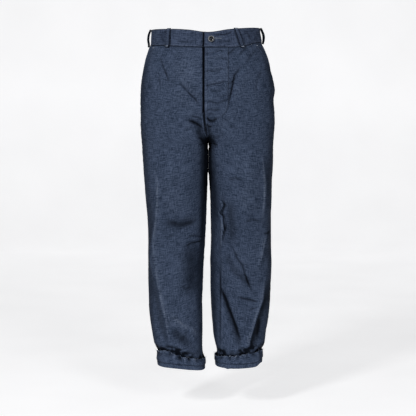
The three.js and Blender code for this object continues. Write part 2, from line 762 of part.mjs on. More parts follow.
// Under the front the facing lies one layer deeper. It comes level with the back at the side seam.
function facingDepth(distance, height) {
  const deep = CLOTH + 3 * LAYER_GAP;
  const mouth = mouthWidth(height) + 1;
  const underMouth = smooth(mouth * 0.2, mouth * 0.85, distance);
  const atSide = smooth(POCKET_END + 40, POCKET_END + 14, height);
  return -deep * Math.max(underMouth, atSide);
}

// The strip behind the fly that carries the buttons, under the left front's overlap.
function flyStand() {
  const rows = 12;
  const grid = [];
  for (let index = 0; index < rows; index += 1) {
    const height = mix(bandEdge('left', 0, 'low') - SEAM_GAP, STAND_END, index / (rows - 1));
    const row = [];
    for (let column = 0; column < STAND_COLUMNS; column += 1) {
      const x = mix(-1 + SEAM_GAP, FLY_UNDERLAP, column / (STAND_COLUMNS - 1));
      row.push(waistPlace(x, height, -STAND_DEPTH));
    }
    grid.push(row);
  }
  return wall('fly_button_stand', NAVY, grid, CLOTH);
}

// A place near the middle of the front, by its distance from the middle.
function waistPlace(x, z, lift) {
  const side = x < 0 ? 'right' : 'left';
  const around = frontAround(side, Math.abs(x), z);
  const plain = section(side, around, z, 0);
  const out = outwards(side, Math.max(around, 0.02), z, 0);
  return {
    point: new THREE.Vector3(x + out.x * lift, plain.y + out.y * lift, z),
    normal: new THREE.Vector3(out.x, out.y, 0),
  };
}

function frontAround(side, distance, z) {
  let low = 0;
  let high = 0.5;
  for (let step = 0; step < 30; step += 1) {
    const middle = (low + high) / 2;
    if (Math.abs(section(side, middle, z, 0).x) < distance) {
      low = middle;
    } else {
      high = middle;
    }
  }
  return (low + high) / 2;
}

// The waist's line, by a running number: 0 to 1 over the left half from front to back, 1 to 2
// over the right half to the front. Below 0 and above 2 it runs on past the middle.
function waistLine(run, z) {
  const side = (run >= 0 && run <= 1) || run > 2 ? 'left' : 'right';
  const around = run > 1 ? Math.abs(2 - run) : Math.abs(run);
  return { side, around, point: section(side, around, z, 0) };
}

// Places along the waist's line at even distances, from the overlap to the underlap.
function waistRuns() {
  const steps = 3000;
  const start = -frontAround('right', FLY_OVERLAP, WAIST_LEVEL);
  const finish = 2 + frontAround('left', FLY_UNDERLAP, WAIST_LEVEL);
  const walked = [{ run: start, length: 0 }];
  let last = waistLine(start, WAIST_LEVEL).point;
  for (let step = 1; step <= steps; step += 1) {
    const run = mix(start, finish, step / steps);
    const next = waistLine(run, WAIST_LEVEL).point;
    walked.push({ run, length: walked[step - 1].length + next.distanceTo(last) });
    last = next;
  }
  const total = walked[steps].length;
  return Array.from({ length: BAND_COLUMNS }, (_, column) => {
    const wanted = total * column / (BAND_COLUMNS - 1);
    return walked.find((entry) => entry.length >= wanted - 1e-6).run;
  });
}

// The band's top layer lies outside the plain section at the fly, and its under layer inside.
function bandLift(run, x) {
  const half = (BAND_CLOTH + LAYER_GAP) / 2;
  if (run < 0.5) {
    return half * smooth(FLY_FACING + 20, FLY_UNDERLAP + 4, x);
  }
  return run > 1.5 ? -half * smooth(-46, -16, x) : 0;
}

function bandPlace(run, z) {
  const { point } = waistLine(run, z);
  const before = waistLine(run - 0.012, z).point;
  const after = waistLine(run + 0.012, z).point;
  const along = after.sub(before).normalize();
  const out = new THREE.Vector3(along.y, -along.x, 0);
  const lift = bandLift(run, point.x);
  return {
    point: new THREE.Vector3(point.x, point.y, z).addScaledVector(out, lift),
    normal: out,
  };
}

function bandHeights(run) {
  const { side, around, point } = waistLine(run, BAND_LEVEL);
  const share = Math.abs(point.x) / readTable(SEAT, 'z', side, BAND_LEVEL);
  const across = around <= 0.5 ? share : 2 - share;
  return { low: bandEdgeAcross(side, across, 'low'), high: bandEdgeAcross(side, across, 'high') };
}

function waistband() {
  const levels = 4;
  const runs = waistRuns();
  const grid = [];
  for (let index = 0; index < levels; index += 1) {
    grid.push(runs.map((run) => {
      const { low, high } = bandHeights(run);
      return bandPlace(run, mix(high, low, index / (levels - 1)));
    }));
  }
  return wall('waistband', NAVY_BAND, grid, BAND_CLOTH);
}

// A belt loop: a strip that is sewn to the band at both ends and bows out between them.
function beltLoop({ name, side, fromMiddle, around, bow }) {
  const rows = 11;
  const columns = 3;
  const seat = BAND_CLOTH / 2 + SEAM_GAP + LOOP_CLOTH / 2;
  const grid = [];
  for (let index = 0; index < rows; index += 1) {
    const share = index / (rows - 1);
    const place = fromMiddle
      ? frontAround(side, mix(...fromMiddle, share), 0)
      : mix(...around, share);
    const run = side === 'left' ? place : 2 - place;
    const { low, high } = bandHeights(run);
    const z = mix(high + 1, low - LOOP_REACH, share);
    const lift = seat + bow * smooth(0, 0.2, share) * smooth(1, 0.8, share);
    const { point, normal } = bandPlace(run, z);
    const across = new THREE.Vector3(-normal.y, normal.x, 0);
    const row = [];
    for (let column = 0; column < columns; column += 1) {
      const offset = LOOP_WIDTH * (column / (columns - 1) - 0.5);
      const moved = point.clone().addScaledVector(normal, lift).addScaledVector(across, offset);
      row.push({ point: moved, normal: normal.clone() });
    }
    grid.push(row);
  }
  return wall(name, NAVY_BAND, grid, LOOP_CLOTH);
}

// The waist button, turned around its own axis, on a short shank.
function waistButton() {
  const { radius, thickness, shank, rise, bevel, rim, dish } = BUTTON;
  const top = rise + thickness;
  const outline = [
    [0, 0],
    [shank, 0],
    [shank, rise],
    [radius - bevel, rise],
    [radius, rise + bevel],
    [radius, top - bevel],
    [radius - bevel, top],
    [radius - rim, top - 0.1],
    [radius - rim - bevel, top - dish],
    [0, top - dish],
  ].map(([across, up]) => new THREE.Vector2(across, up));
  const geometry = new THREE.LatheGeometry(outline, 24);
  const material = new THREE.MeshStandardMaterial({
    color: BUTTON_GREY,
    roughness: BUTTON_ROUGHNESS,
    metalness: BUTTON_METALNESS,
  });
  const mesh = new THREE.Mesh(geometry, material);
  mesh.name = 'waist_button';
  const { point, normal } = bandPlace(frontAround('left', BUTTON.x, BUTTON.z), BUTTON.z);
  mesh.position.copy(point).addScaledVector(normal, BAND_CLOTH / 2 + SEAM_GAP);
  mesh.quaternion.setFromUnitVectors(new THREE.Vector3(0, 1, 0), normal);
  return mesh;
}

const group = new THREE.Group();
group.add(
  panel('front_right', 'right', 'front', FRONT_COLUMNS),
  panel('front_left', 'left', 'front', FRONT_COLUMNS),
  panel('back_right', 'right', 'back', BACK_COLUMNS),
  panel('back_left', 'left', 'back', BACK_COLUMNS),
  pocketFacing('pocket_facing_right', 'right'),
  pocketFacing('pocket_facing_left', 'left'),
  flyStand(),
  waistband(),
  ...LOOPS.map(beltLoop),
  waistButton(),
);

export default group;
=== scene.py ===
"""Looks for straight linen trousers with a buttoned fly and turned-up hems.

Lengths in the tables are millimetres, in the frame of the solids: +Z is up, the front faces -Y,
+X is the wearer's left, and the origin is the middle of the waist on the line of the fly.
"""

import collections
import math

import bpy
import numpy as np
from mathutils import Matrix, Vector


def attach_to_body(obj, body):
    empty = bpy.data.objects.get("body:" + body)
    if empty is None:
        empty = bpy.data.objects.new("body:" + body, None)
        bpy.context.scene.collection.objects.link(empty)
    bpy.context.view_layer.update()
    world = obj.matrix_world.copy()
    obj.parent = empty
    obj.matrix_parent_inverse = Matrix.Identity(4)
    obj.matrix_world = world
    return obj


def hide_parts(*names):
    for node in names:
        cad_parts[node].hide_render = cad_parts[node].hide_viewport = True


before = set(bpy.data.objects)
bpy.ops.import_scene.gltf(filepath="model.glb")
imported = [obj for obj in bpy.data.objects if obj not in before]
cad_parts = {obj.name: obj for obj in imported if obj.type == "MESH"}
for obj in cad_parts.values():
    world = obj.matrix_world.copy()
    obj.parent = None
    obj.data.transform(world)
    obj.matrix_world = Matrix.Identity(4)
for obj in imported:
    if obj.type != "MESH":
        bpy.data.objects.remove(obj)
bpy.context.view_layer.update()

bl_info = {
    "name": "Linen trousers",
    "version": (1, 0, 0),
    "blender": (4, 5, 0),
    "location": "View3D > Sidebar > Trousers",
    "description": "Builds the cloth, sewing and button of a pair of worn trousers",
    "category": "Object",
}

MM = 0.001

# Cloth and seams
CLOTH = 1.2
BAND_CLOTH = 2.4
LOOP_CLOTH = 3.2
BAND_SLOT = 4
BAND_SOLID = 2.8
LOOP_SOLID = 2.8
SEAM_GAP = 0.3
SEWN_GAP = 0.06
LAYER_GAP = 0.4

# Heights
BAND_LEVEL = -20
WAIST_LEVEL = -6
FORK_TOP = -232
CROTCH = -293
POCKET_END = -168

# Fly
FLY_OVERLAP = 11
FLY_UNDERLAP = 42
FLY_FACING = 56
STAND_END = -198
STAND_DEPTH = 1.3
OVERLAP_LIFT = 0.9
UNDERLAP_DEPTH = 1.1
FLY_SLOT = 7
SLOT_FADE = (-216, -202)
FLY_STITCH = {"x": 55.2, "top": -33, "bend": -182, "drop": 50, "foot": -6}

# Folds
FOLD_SHARE = 0.8
CREASE_WIDTH = 0.75

# Thighs
THIGH_PRESS = 6

# Pocket
MOUTH_WIDTH = 64
MOUTH_LIFT = 0.8
MOUTH_STITCHES = (1.6, 7)
FACING_TUCK = 14

# Hem
HEM_FOLD_SHARE = 0.32
HEM_FOLD_DROP = 3
HEM_STITCH = 13

# Sewing
STITCH_LENGTH = 2.9
STITCH_RADIUS = 0.34
STITCH_SIDES = 5
EDGE_STITCH = 2.4
FELL_WIDTH = 8
FELL_STITCHES = (1.6, FELL_WIDTH - 0.8)
TACK_STEP = 0.62

# Belt loops
LOOP_WIDTH = 11
LOOP_REACH = 3
LOOP_STITCH = 2.8

# Rows and columns of points
FRONT_COLUMNS = 124
BACK_COLUMNS = 92
FACING_GRID = (64, 40)
STAND_GRID = (70, 22)
BAND_GRID = (30, 430)
LOOP_GRID = (46, 11)

# Waist button
BUTTON = {"x": 8.4, "z": -8.2, "radius": 8.4, "shank": 3, "rise": 1.2, "segments": 96}
BUTTON_DISH = {"reach": 5, "height": 1.9, "rings": 26}
BUTTON_HOLES = {"from_middle": 1.45, "depth": 1.5, "edge": (1.05, 0.8)}
BUTTONHOLE = {"x": 20, "z": -6.4, "half": 16, "bar": 1.1}


def table(heading, *rows):
    """Named columns of numbers, from a heading and rows in the same order."""
    return dict(zip(heading.split(), np.array(rows, float).T))


# Half-lengths of the seat at heights from the waist down: to the wearer's right and left,
# to the front and to the back. A larger squareness fills the corners of the section.
SEAT = table(
    "z right left front back squareness",
    (25, 156, 143.5, 112, 100, 2.3),
    (-18, 158, 149.2, 113, 102, 2.3),
    (-30, 163.3, 155, 113.5, 105, 2.35),
    (-45, 168.3, 161.5, 114.5, 109, 2.4),
    (-62, 173.6, 167.6, 115.5, 113, 2.45),
    (-90, 179.6, 173.3, 116.5, 119, 2.5),
    (-118, 183.4, 179.8, 117.5, 124, 2.5),
    (-150, 185.6, 184.5, 118, 128, 2.5),
    (-172, 187.4, 182.3, 118.5, 130, 2.5),
    (-201, 187.8, 184.7, 119, 130, 2.5),
    (-229, 187.9, 185.9, 118.5, 128, 2.5),
    (-257, 187, 184.7, 117.5, 125, 2.5),
    (-293, 183.4, 182.7, 115, 119, 2.5),
    (-341, 181, 180.9, 111, 111, 2.45),
    (-420, 176.2, 177.3, 105, 102, 2.4),
)

# Sections of each leg: how far the inner and outer sides lie from the middle of the garment,
# the front and back, and how far the seams turn towards the front on the inner side.
LEG_HEADING = "z inner outer front back squareness turn"
LEGS = {
    "right": table(
        LEG_HEADING,
        (-160, 1, 186.1, 112, 124, 2.3, 0),
        (-232, 1, 187.6, 111, 123, 2.3, 0),
        (-293, 0.95, 183.4, 109, 117, 2.3, 0),
        (-303, 1.2, 182, 108.5, 115.5, 2.3, 0.5),
        (-315, 0.9, 182, 108, 114, 2.3, 1),
        (-362, 1, 179.4, 106, 108.5, 2.28, 3.5),
        (-397, 2.2, 177.4, 104, 103, 2.25, 6),
        (-454, 4.6, 173.2, 99, 95, 2.2, 10),
        (-510, 6, 169.1, 94, 88, 2.2, 14),
        (-567, 9.4, 167.3, 89, 83, 2.15, 18),
        (-624, 12.7, 166.9, 85, 80, 2.15, 22),
        (-680, 14.7, 166.8, 81, 78, 2.1, 26),
        (-737, 17.2, 166.2, 77, 77, 2.1, 30),
        (-794, 15.4, 162, 73, 77, 2.1, 33),
        (-823, 15.6, 158, 71, 76, 2.1, 34),
        (-852, 16.4, 152.6, 68, 75, 2.1, 35),
        (-880, 17, 138.6, 65, 72, 2.1, 35),
        (-935, 16, 137.6, 62, 70, 2.1, 35),
    ),
    "left": table(
        LEG_HEADING,
        (-160, 1, 184.3, 112, 124, 2.3, 0),
        (-232, 1, 185.8, 111, 123, 2.3, 0),
        (-293, 0.95, 182.7, 109, 117, 2.3, 0),
        (-303, 3.6, 182.1, 108.5, 115.5, 2.3, 0.5),
        (-315, 1, 182.1, 108, 114, 2.3, 1),
        (-362, 1, 180, 106, 108.5, 2.28, 3.5),
        (-397, 4, 177.9, 104, 103, 2.25, 6),
        (-454, 7.6, 177.3, 99, 95, 2.2, 9),
        (-510, 8, 175.5, 94, 88, 2.2, 12),
        (-567, 9.5, 177.1, 89, 83, 2.15, 15),
        (-624, 6.9, 178.7, 85, 80, 2.15, 18),
        (-680, 6.9, 176.1, 81, 78, 2.1, 22),
        (-737, 9.3, 173.7, 77, 77, 2.1, 26),
        (-794, 12.4, 167.7, 73, 77, 2.1, 30),
        (-823, 14.4, 162.2, 71, 76, 2.1, 32),
        (-852, 19.2, 159.4, 68, 75, 2.1, 33),
        (-880, 27, 147, 65, 72, 2.1, 34),
        (-935, 27.6, 147.4, 62, 70, 2.1, 34),
    ),
}

# Lower and upper edge of the waistband. across is the share of the waist's half-width: from the
# middle of the front (0) to the side seam (1) and on to the middle of the back (2).
BAND_EDGES = {
    "right": table(
        "across low high",
        (0, -31, 10.5),
        (0.35, -30, 17),
        (0.65, -27, 19.8),
        (1, -24, 20.5),
        (1.5, -24, 19),
        (2, -24, 17),
    ),
    "left": table(
        "across low high",
        (0, -31, 10.5),
        (0.4, -31, 18.4),
        (0.6, -28.5, 21.2),
        (0.9, -17, 24.4),
        (1, -15, 24.9),
        (1.5, -19, 20.5),
        (2, -24, 17),
    ),
}

# Where the front edges of the two halves run: the left one lies over the right one at the fly,
# and both meet in the crotch seam below it.
FLY_EDGES = table(
    "z left right",
    (0, -FLY_OVERLAP, -1),
    (-198, -FLY_OVERLAP, -1),
    (-214, -FLY_OVERLAP, -FLY_OVERLAP),
    (FORK_TOP, -9.5, -9.5),
    (-250, -7.6, -7.6),
    (-270, -4, -4),
    (-285, -0.8, -0.8),
    (CROTCH, 1, 1),
)

# The turned-up hems: bottom fold, upper edge and distance from the leg, by degrees around the
# leg from the inner side (0) over the front (90) and the outer side (180) to the back (270).
CUFFS = {
    "right": table(
        "degrees low high clear",
        (0, -930, -899, 8),
        (45, -924, -892, 7),
        (75, -919, -880, 8),
        (95, -918, -868, 9),
        (120, -918, -872, 6.5),
        (150, -919, -881, 4.6),
        (180, -920, -885, 4.4),
        (225, -923, -888, 5.5),
        (270, -926, -891, 7),
        (320, -929, -896, 6.5),
        (360, -930, -899, 8),
    ),
    "left": table(
        "degrees low high clear",
        (0, -920, -890, 6.5),
        (45, -920, -886, 7),
        (80, -918.5, -880, 7),
        (105, -917, -879, 8.5),
        (125, -910, -873, 7.5),
        (150, -911, -878, 5.5),
        (180, -914, -883, 5.5),
        (225, -918, -887, 6),
        (270, -921, -888, 6),
        (320, -920, -892, 7),
        (360, -920, -890, 6.5),
    ),
}

# Folds and creases. x is as seen from the front, z downwards. A fold rises by lift, or sinks
# where lift is negative. It is width wide, and wider by lean on its +X side.
Fold = collections.namedtuple("Fold", "side face x z width lift lean")


def folds_of(side, face, *rows):
    """Folds of one half, all seen from the same face."""
    return [Fold(side, face, *row) for row in rows]


FOLDS = [
    *folds_of(
        "right", "front",
        ((-157, -145, -138, -136), (-340, -445, -500, -560), 11, 5, 1.4),
        ((-138, -127, -124), (-420, -500, -570), 13, -3.5, 1),
        (
            (-149, -157, -154, -131, -122, -114, -104),
            (-520, -584, -610, -737, -774, -814, -868),
            10, 6, 1.6,
        ),
        ((-148, -146, -139, -128), (-650, -720, -790, -850), 13, -5, 1),
        ((-122, -70, -22), (-512, -521, -512), 17, -3.5, 0.8),
        ((-60, -46, -40, -38), (-575, -620, -665, -730), 25, -6, 0.8),
        ((-124, -82, -44, -30), (-758, -799, -822, -842), 13, 6, 1),
        ((-98, -70, -50), (-812, -834, -858), 22, -4.5, 1),
        ((-100, -82, -58, -18), (-105, -125, -146, -192), 11, -3, 0.8),
        ((-62, -40, -14), (-206, -222, -240), 11, 3.5, 1),
        ((-70, -48, -24), (-262, -255, -250), 12, -3.5, 1),
        ((-100, -98, -92), (-330, -430, -520), 30, 3, 1),
    ),
    *folds_of(
        "left", "front",
        ((47, 42, 44, 42), (-425, -496, -560, -650), 9, 8, 0.9),
        ((62, 58, 62, 66), (-430, -500, -560, -620), 13, -9, 1.7),
        ((66, 95, 114, 124), (-580, -641, -695, -730), 12, -5.5, 1.2),
        ((30, 36, 49, 65, 77, 90, 92), (-612, -703, -737, -779, -810, -849, -876), 11, -6.5, 1.3),
        ((151, 160, 151), (-327, -454, -527), 11, 4, 1.3),
        ((158, 153, 142), (-540, -573, -660), 11, 4.5, 1.3),
        ((163, 148, 130, 114, 106), (-652, -737, -800, -846, -878), 10, 7, 1.7),
        ((150, 139, 128), (-775, -815, -862), 13, -6.5, 1),
        ((97, 76, 67, 58), (-76, -112, -146, -200), 10, -4.5, 1.3),
        ((112, 92, 82, 72), (-80, -120, -150, -200), 12, 2.5, 1),
        ((62, 36, 14), (-212, -228, -250), 11, 3, 1),
        ((112, 108, 100), (-300, -400, -520), 28, 3, 1),
    ),
    *folds_of(
        "right", "back",
        ((-30, -75, -130), (-262, -232, -205), 15, -5, 1),
        ((-35, -80, -135), (-300, -322, -316), 16, -5, 1),
        ((-40, -92, -140), (-530, -545, -525), 15, -6, 1),
        ((-60, -66, -52), (-590, -690, -790), 16, 6, 1.3),
        ((-118, -112, -120), (-600, -720, -860), 16, -6, 1),
    ),
    *folds_of(
        "left", "back",
        ((30, 75, 130), (-258, -236, -212), 15, -5, 1),
        ((35, 82, 135), (-306, -318, -326), 16, -5, 1),
        ((38, 86, 145), (-520, -548, -540), 15, -6, 1),
        ((72, 66, 80), (-585, -700, -800), 16, -6, 1.3),
        ((120, 126, 112), (-600, -730, -860), 16, 6, 1),
    ),
]

# Finer creases that only the cloth shows, by region from the fly down to the hems.
CREASES = [
    *folds_of(
        "left", "front",
        ((-14, 6, 28, 52), (-55, -50, -46, -38), 3.2, -3, 1.2),
        ((-6, 20, 48), (-61, -56, -50), 3.5, 1.8, 1),
        ((20, 44, 62), (-64, -62, -70), 3, -1.4, 1),
        ((-14, 6, 28, 44), (-94, -96, -96, -86), 3, -2.6, 1),
        ((-6, 16, 36), (-86, -88, -84), 3.4, 1.4, 1),
        ((-12, 8, 32, 54), (-134, -134, -131, -117), 3.2, -2.8, 1),
        ((-6, 24, 50), (-124, -124, -112), 3.5, 1.4, 1),
        ((2, 22, 44), (-148, -150, -146), 2.6, -1.6, 1),
        ((14, 34, 52), (-163, -166, -160), 2.6, -1.4, 1),
        ((-14, 8, 26, 43, 62), (-182, -178, -186, -177, -172), 3, -2.6, 1),
        ((-8, 16, 44), (-171, -169, -168), 3.2, 1.2, 1),
        ((-12, 14, 40), (-203, -199, -202), 2.8, -1.8, 1),
        ((-10, 8, 24), (-214, -211, -212), 2.6, -1.4, 1),
        ((96, 73, 69, 61, 55), (-76, -109, -127, -162, -200), 3, -3, 0.8),
        ((100, 84, 76, 68), (-88, -116, -148, -190), 4.5, 1.2, 1),
        ((52, 68, 84), (-134, -122, -108), 3, -1.4, 1),
        ((75, 62, 49), (-29, -44, -55), 3.6, -2, 1),
        ((106, 96, 84), (-28, -40, -54), 3.6, -1.6, 1),
        ((136, 120, 104), (-36, -52, -74), 4, -1.2, 1),
        ((150, 138, 126), (-90, -118, -160), 5, -1, 1),
        ((-8, 5, 16, 32), (-216, -230, -230, -217), 3.4, -2.2, 1),
        ((-6, 2, 14), (-236, -243, -248), 3.4, -2, 1),
        ((44, 60, 90), (-232, -246, -252), 4.5, -0.6, 1),
        ((8, 16, 26), (-276, -288, -304), 4, -1.2, 1),
        ((4, 22, 44), (-262, -268, -266), 4, 1.3, 1),
    ),
    *folds_of(
        "right", "front",
        ((-134, -118, -106), (-44, -92, -130), 3.4, -1.8, 1),
        ((-132, -133, -131), (-98, -118, -144), 3, -0.9, 1),
        ((-130, -108, -84), (-122, -120, -123), 3, -0.7, 1),
        ((-84, -49, -14), (-122, -158, -196), 3.4, -2.6, 1),
        ((-76, -42, -16), (-118, -148, -176), 5, 1.2, 1),
        ((-98, -62, -30), (-60, -58, -62), 3.6, -0.7, 1),
        ((-58, -33, -12), (-228, -238, -248), 4, -2.4, 1),
        ((-52, -27, -12), (-216, -222, -231), 4, -1.8, 1),
        ((-62, -36, -12), (-240, -246, -254), 4.5, 1.3, 1),
        ((-30, -18, -8), (-272, -280, -292), 4, -1.6, 1),
        ((-151, -139, -134), (-350, -438, -492), 4.5, 1.3, 1.6),
        (
            (-145, -148, -155, -151, -129, -121, -114, -104),
            (-455, -532, -573, -598, -725, -761, -801, -850),
            4, 1.8, 1.8,
        ),
        ((-114, -69, -24), (-506, -518, -502), 8, -1, 1),
        ((-64, -42, -12), (-578, -566, -562), 3, -2.6, 1),
        ((-58, -38, -10), (-553, -547, -554), 3, -1.8, 1),
        ((-60, -40, -14), (-566, -557, -558), 3, 1.4, 1),
        ((-118, -104, -90), (-556, -550, -548), 3.5, -1, 1),
        ((-120, -81, -43, -33), (-750, -786, -809, -828), 4.5, 2, 1.3),
        ((-88, -66, -42), (-850, -828, -800), 9, -0.9, 1),
        ((-146, -132, -117), (-800, -830, -868), 5, 1.7, 1),
        ((-76, -60, -40), (-686, -694, -690), 5, -1.2, 1),
    ),
    *folds_of(
        "left", "front",
        (
            (41, 34, 40, 30, 37, 40, 37, 34),
            (-424, -448, -460, -484, -500, -524, -556, -610),
            3, 2.4, 1,
        ),
        (
            (48, 42, 48, 39, 46, 49, 46, 44),
            (-424, -448, -460, -484, -500, -524, -556, -610),
            3, -2.6, 1.2,
        ),
        ((56, 94, 112, 122), (-562, -629, -682, -708), 4, -2.4, 0.8),
        ((66, 100, 118), (-566, -622, -668), 5, 1.4, 1),
        ((29, 35, 48, 65, 77, 89, 91), (-600, -691, -725, -765, -797, -835, -872), 4, -2.6, 0.8),
        ((148, 156, 149), (-320, -446, -522), 4.5, 1.4, 1.6),
        ((152, 148, 139), (-556, -590, -642), 4.5, 1.6, 1.6),
        ((162, 147, 129, 113, 105), (-636, -725, -787, -832, -874), 4, 2.2, 1.8),
        ((152, 164, 174), (-548, -541, -534), 3, -1.8, 1),
        ((72, 111, 148), (-714, -724, -735), 3, -2.2, 1),
        ((112, 126, 142), (-754, -749, -744), 3, -1.6, 1),
        ((62, 92, 122), (-648, -680, -704), 5, 1.3, 1),
        ((139, 141, 137), (-776, -800, -836), 5, -2.2, 1),
        ((118, 121, 124), (-838, -854, -874), 4, -2.2, 1),
        ((127, 136, 147), (-822, -842, -870), 4, 1.8, 1),
        ((52, 74, 96), (-394, -386, -392), 6, -1.2, 1),
        ((96, 122, 146), (-508, -500, -508), 5, -1.2, 1),
    ),
    *folds_of(
        "right", "back",
        ((-24, -62, -112), (-250, -228, -206), 5, -1.9, 1),
        ((-28, -70, -120), (-312, -326, -322), 5, -1.8, 1),
        ((-34, -80, -128), (-516, -530, -512), 5, -2, 1),
        ((-44, -88, -134), (-560, -572, -556), 5, -1.6, 1),
        ((-62, -68, -56), (-600, -690, -780), 5, 1.8, 1.4),
        ((-108, -84, -58), (-800, -822, -850), 5, -1.8, 1),
    ),
    *folds_of(
        "left", "back",
        ((24, 66, 116), (-246, -230, -210), 5, -1.9, 1),
        ((30, 74, 126), (-318, -324, -332), 5, -1.8, 1),
        ((34, 80, 132), (-506, -534, -528), 5, -2, 1),
        ((42, 92, 140), (-556, -578, -566), 5, -1.6, 1),
        ((118, 124, 114), (-610, -724, -840), 5, 1.8, 1.4),
        ((112, 86, 60), (-790, -818, -842), 5, -1.8, 1),
    ),
]

# Creases of the waistband, by the pull of the button and between the belt loops.
BAND_CREASES = [
    *folds_of(
        "left", "front",
        ((8, 30, 46, 58, 70), (2.2, 1.6, 2.2, 6, 15), 2, -1.5, 1.2),
        ((8, 24, 38, 52), (-3.6, -3.8, -3.4, 0), 2.2, 1.4, 1),
        ((20, 44, 70), (-17, -15, -18), 3.5, -0.7, 1),
        ((76, 82, 88), (12, -6, -24), 3, -0.8, 1),
        ((100, 112, 120), (14, 2, -12), 3.5, -0.8, 1),
    ),
    *folds_of(
        "right", "front",
        ((-90, -60, -24), (-14, -17, -14), 3.5, -0.6, 1),
        ((-60, -44, -22), (4, 1, 3), 3.5, -0.5, 1),
        ((-134, -126, -120), (10, -4, -16), 3.5, -0.7, 1),
    ),
]

# Painted light and shade along the same kind of lines: painted shade in hollows and painted
# highlights along ridges. lift is how much paler, and below 0 how much darker.
PAINTED_LIGHT_AND_SHADE = [
    *folds_of(
        "right", "front",
        ((-148, -139, -140, -146, -152, -150), (-333, -399, -454, -521, -560, -607), 2.2, 0.6, 1),
        (
            (-151, -142, -143, -149, -155, -153),
            (-353, -419, -454, -521, -560, -607),
            14, -0.3, 0.15,
        ),
        ((-150, -142, -129, -117, -109, -103), (-607, -669, -731, -787, -837, -862), 2.4, 0.4, 1),
        (
            (-153, -145, -132, -120, -112, -106),
            (-607, -669, -731, -787, -837, -872),
            18, -0.45, 0.12,
        ),
        ((-126, -82, -24), (-506, -514, -494), 14, -0.5, 0.8),
        ((-46, -42, -46), (-545, -640, -735), 26, -0.5, 0.8),
        ((-107, -78, -41), (-766, -787, -824), 2.6, 0.3, 1),
        ((-104, -76, -34), (-800, -828, -866), 18, -0.5, 0.5),
        ((-14, -12, -14, -18), (-240, -364, -488, -660), 8, -0.45, 1),
        ((-52, -30, -10), (-222, -238, -262), 9, -0.6, 1),
        ((-34, -20, -6), (-250, -270, -300), 10, -0.7, 1),
        ((-66, -58), (-30, -215), 30, 0.12, 1),
    ),
    *folds_of(
        "left", "front",
        ((9, 14, 22, 30), (-300, -397, -460, -540), 13, -0.4, 1),
        ((-4, 6, 26), (-234, -268, -304), 9, -0.6, 1),
        ((-6, 6, 16, 32), (-217, -231, -231, -218), 3, -0.6, 1),
        ((14, 30, 50), (-262, -268, -262), 11, -0.25, 1),
        (
            (41, 33, 40, 29, 37, 37, 40, 37, 36, 34),
            (-418, -448, -460, -484, -492, -508, -524, -548, -568, -602),
            2, 0.4, 1,
        ),
        (
            (45, 37, 44, 33, 41, 41, 44, 41, 40, 38),
            (-414, -448, -460, -484, -492, -508, -524, -548, -568, -606),
            1.5, -1.6, 1.6,
        ),
        ((54, 60, 66, 62), (-440, -480, -530, -575), 12, -0.4, 1),
        ((40, 74, 130), (-581, -646, -690), 9, -0.4, 1.2),
        ((146, 152, 157, 154, 147), (-310, -360, -405, -455, -525), 2.2, 0.6, 1),
        ((151, 157, 162, 159, 152), (-310, -360, -405, -455, -525), 2, -0.45, 5),
        ((165, 155, 143), (-535, -571, -635), 2.4, 0.35, 1),
        ((168, 158, 146), (-530, -571, -645), 2, -0.35, 7),
        ((161, 152, 135, 115, 107), (-648, -724, -770, -841, -877), 2.2, 0.5, 1),
        ((164, 155, 138, 118, 110), (-643, -724, -770, -841, -887), 2, -1.1, 9),
        ((28, 57, 78, 95), (-660, -741, -803, -880), 12, -0.7, 0.4),
        ((20, 22), (-560, -880), 11, -0.25, 1),
        ((77, 111, 143), (-712, -722, -731), 7, -0.25, 0.4),
        ((36, 34), (-581, -890), 1.8, -0.7, 1),
        ((41, 39), (-581, -890), 1.8, 0.25, 1),
    ),
]

# Where the legs are crumpled into the hems, painted with shade and highlights there: side, x and
# width.
CRUMPLED = [("right", -78, 34), ("left", 40, 12), ("left", 104, 16), ("left", 132, 12)]

# The waves of a hem stay near its loose upper edge. The larger, the nearer.
HEM_STIFFNESS = 3.2

# Where tufts of pale yarn stand on the upper edge of the left hem.
TUFTS = (61, 78)

# Where a hem's loose upper edge stands away: degrees around the leg, how wide and how far.
HEM_WAVES = {
    "right": table(
        "degrees width lift",
        (12, 6, 1.5), (28, 4, -2.5), (37, 4, 4.5), (47, 4, -4.5), (57, 4, 5), (67, 4, -4.5),
        (77, 4, 5), (86, 4, -4), (94, 4, 3.5), (118, 8, 1), (152, 8, -1),
        (200, 12, 3), (245, 14, -2), (290, 14, 3), (335, 12, -2),
    ),
    "left": table(
        "degrees width lift",
        (10, 6, 1.5), (26, 5, -1.5), (39, 4, 3.5), (47, 3, -3), (54, 4, 3.5), (64, 4, -3.5),
        (74, 4, 4), (83, 5, -2), (97, 4, -3.5), (107, 4, 4.5), (117, 4, -3), (166, 8, 2),
        (215, 14, 2.5), (262, 14, -2), (312, 14, 3),
    ),
}

# Belt loops: side, places of the top and the bottom in millimetres from the middle of the front
# or as places around the waist, how far the loop bows out, and its turn in degrees towards the
# front.
Loop = collections.namedtuple("Loop", "side from_middle around bow twist")
LOOPS = {
    "belt_loop_front_right": Loop("right", (104.5, 104.5), None, 7, 0),
    "belt_loop_front_left": Loop("left", (75, 87), None, 7, 0),
    "belt_loop_side_right": Loop("right", None, 0.5, 6, 12),
    "belt_loop_side_left": Loop("left", None, 0.5, 6, 20),
    "belt_loop_back": Loop("right", None, 1.0, 5.5, 0),
}

SIGN = {"right": -1, "left": 1}


# Curves and sections


def smooth(start, end, value):
    """Runs from 0 at start to 1 at end, level at both."""
    share = np.clip((value - start) / (end - start), 0, 1)
    return share * share * (3 - 2 * share)


def mix(start, end, share):
    """A share of the way from start to end."""
    return start + (end - start) * share


def bump(value, middle, width):
    """A soft hump of height 1."""
    return np.exp(-(((value - middle) / width) ** 2))


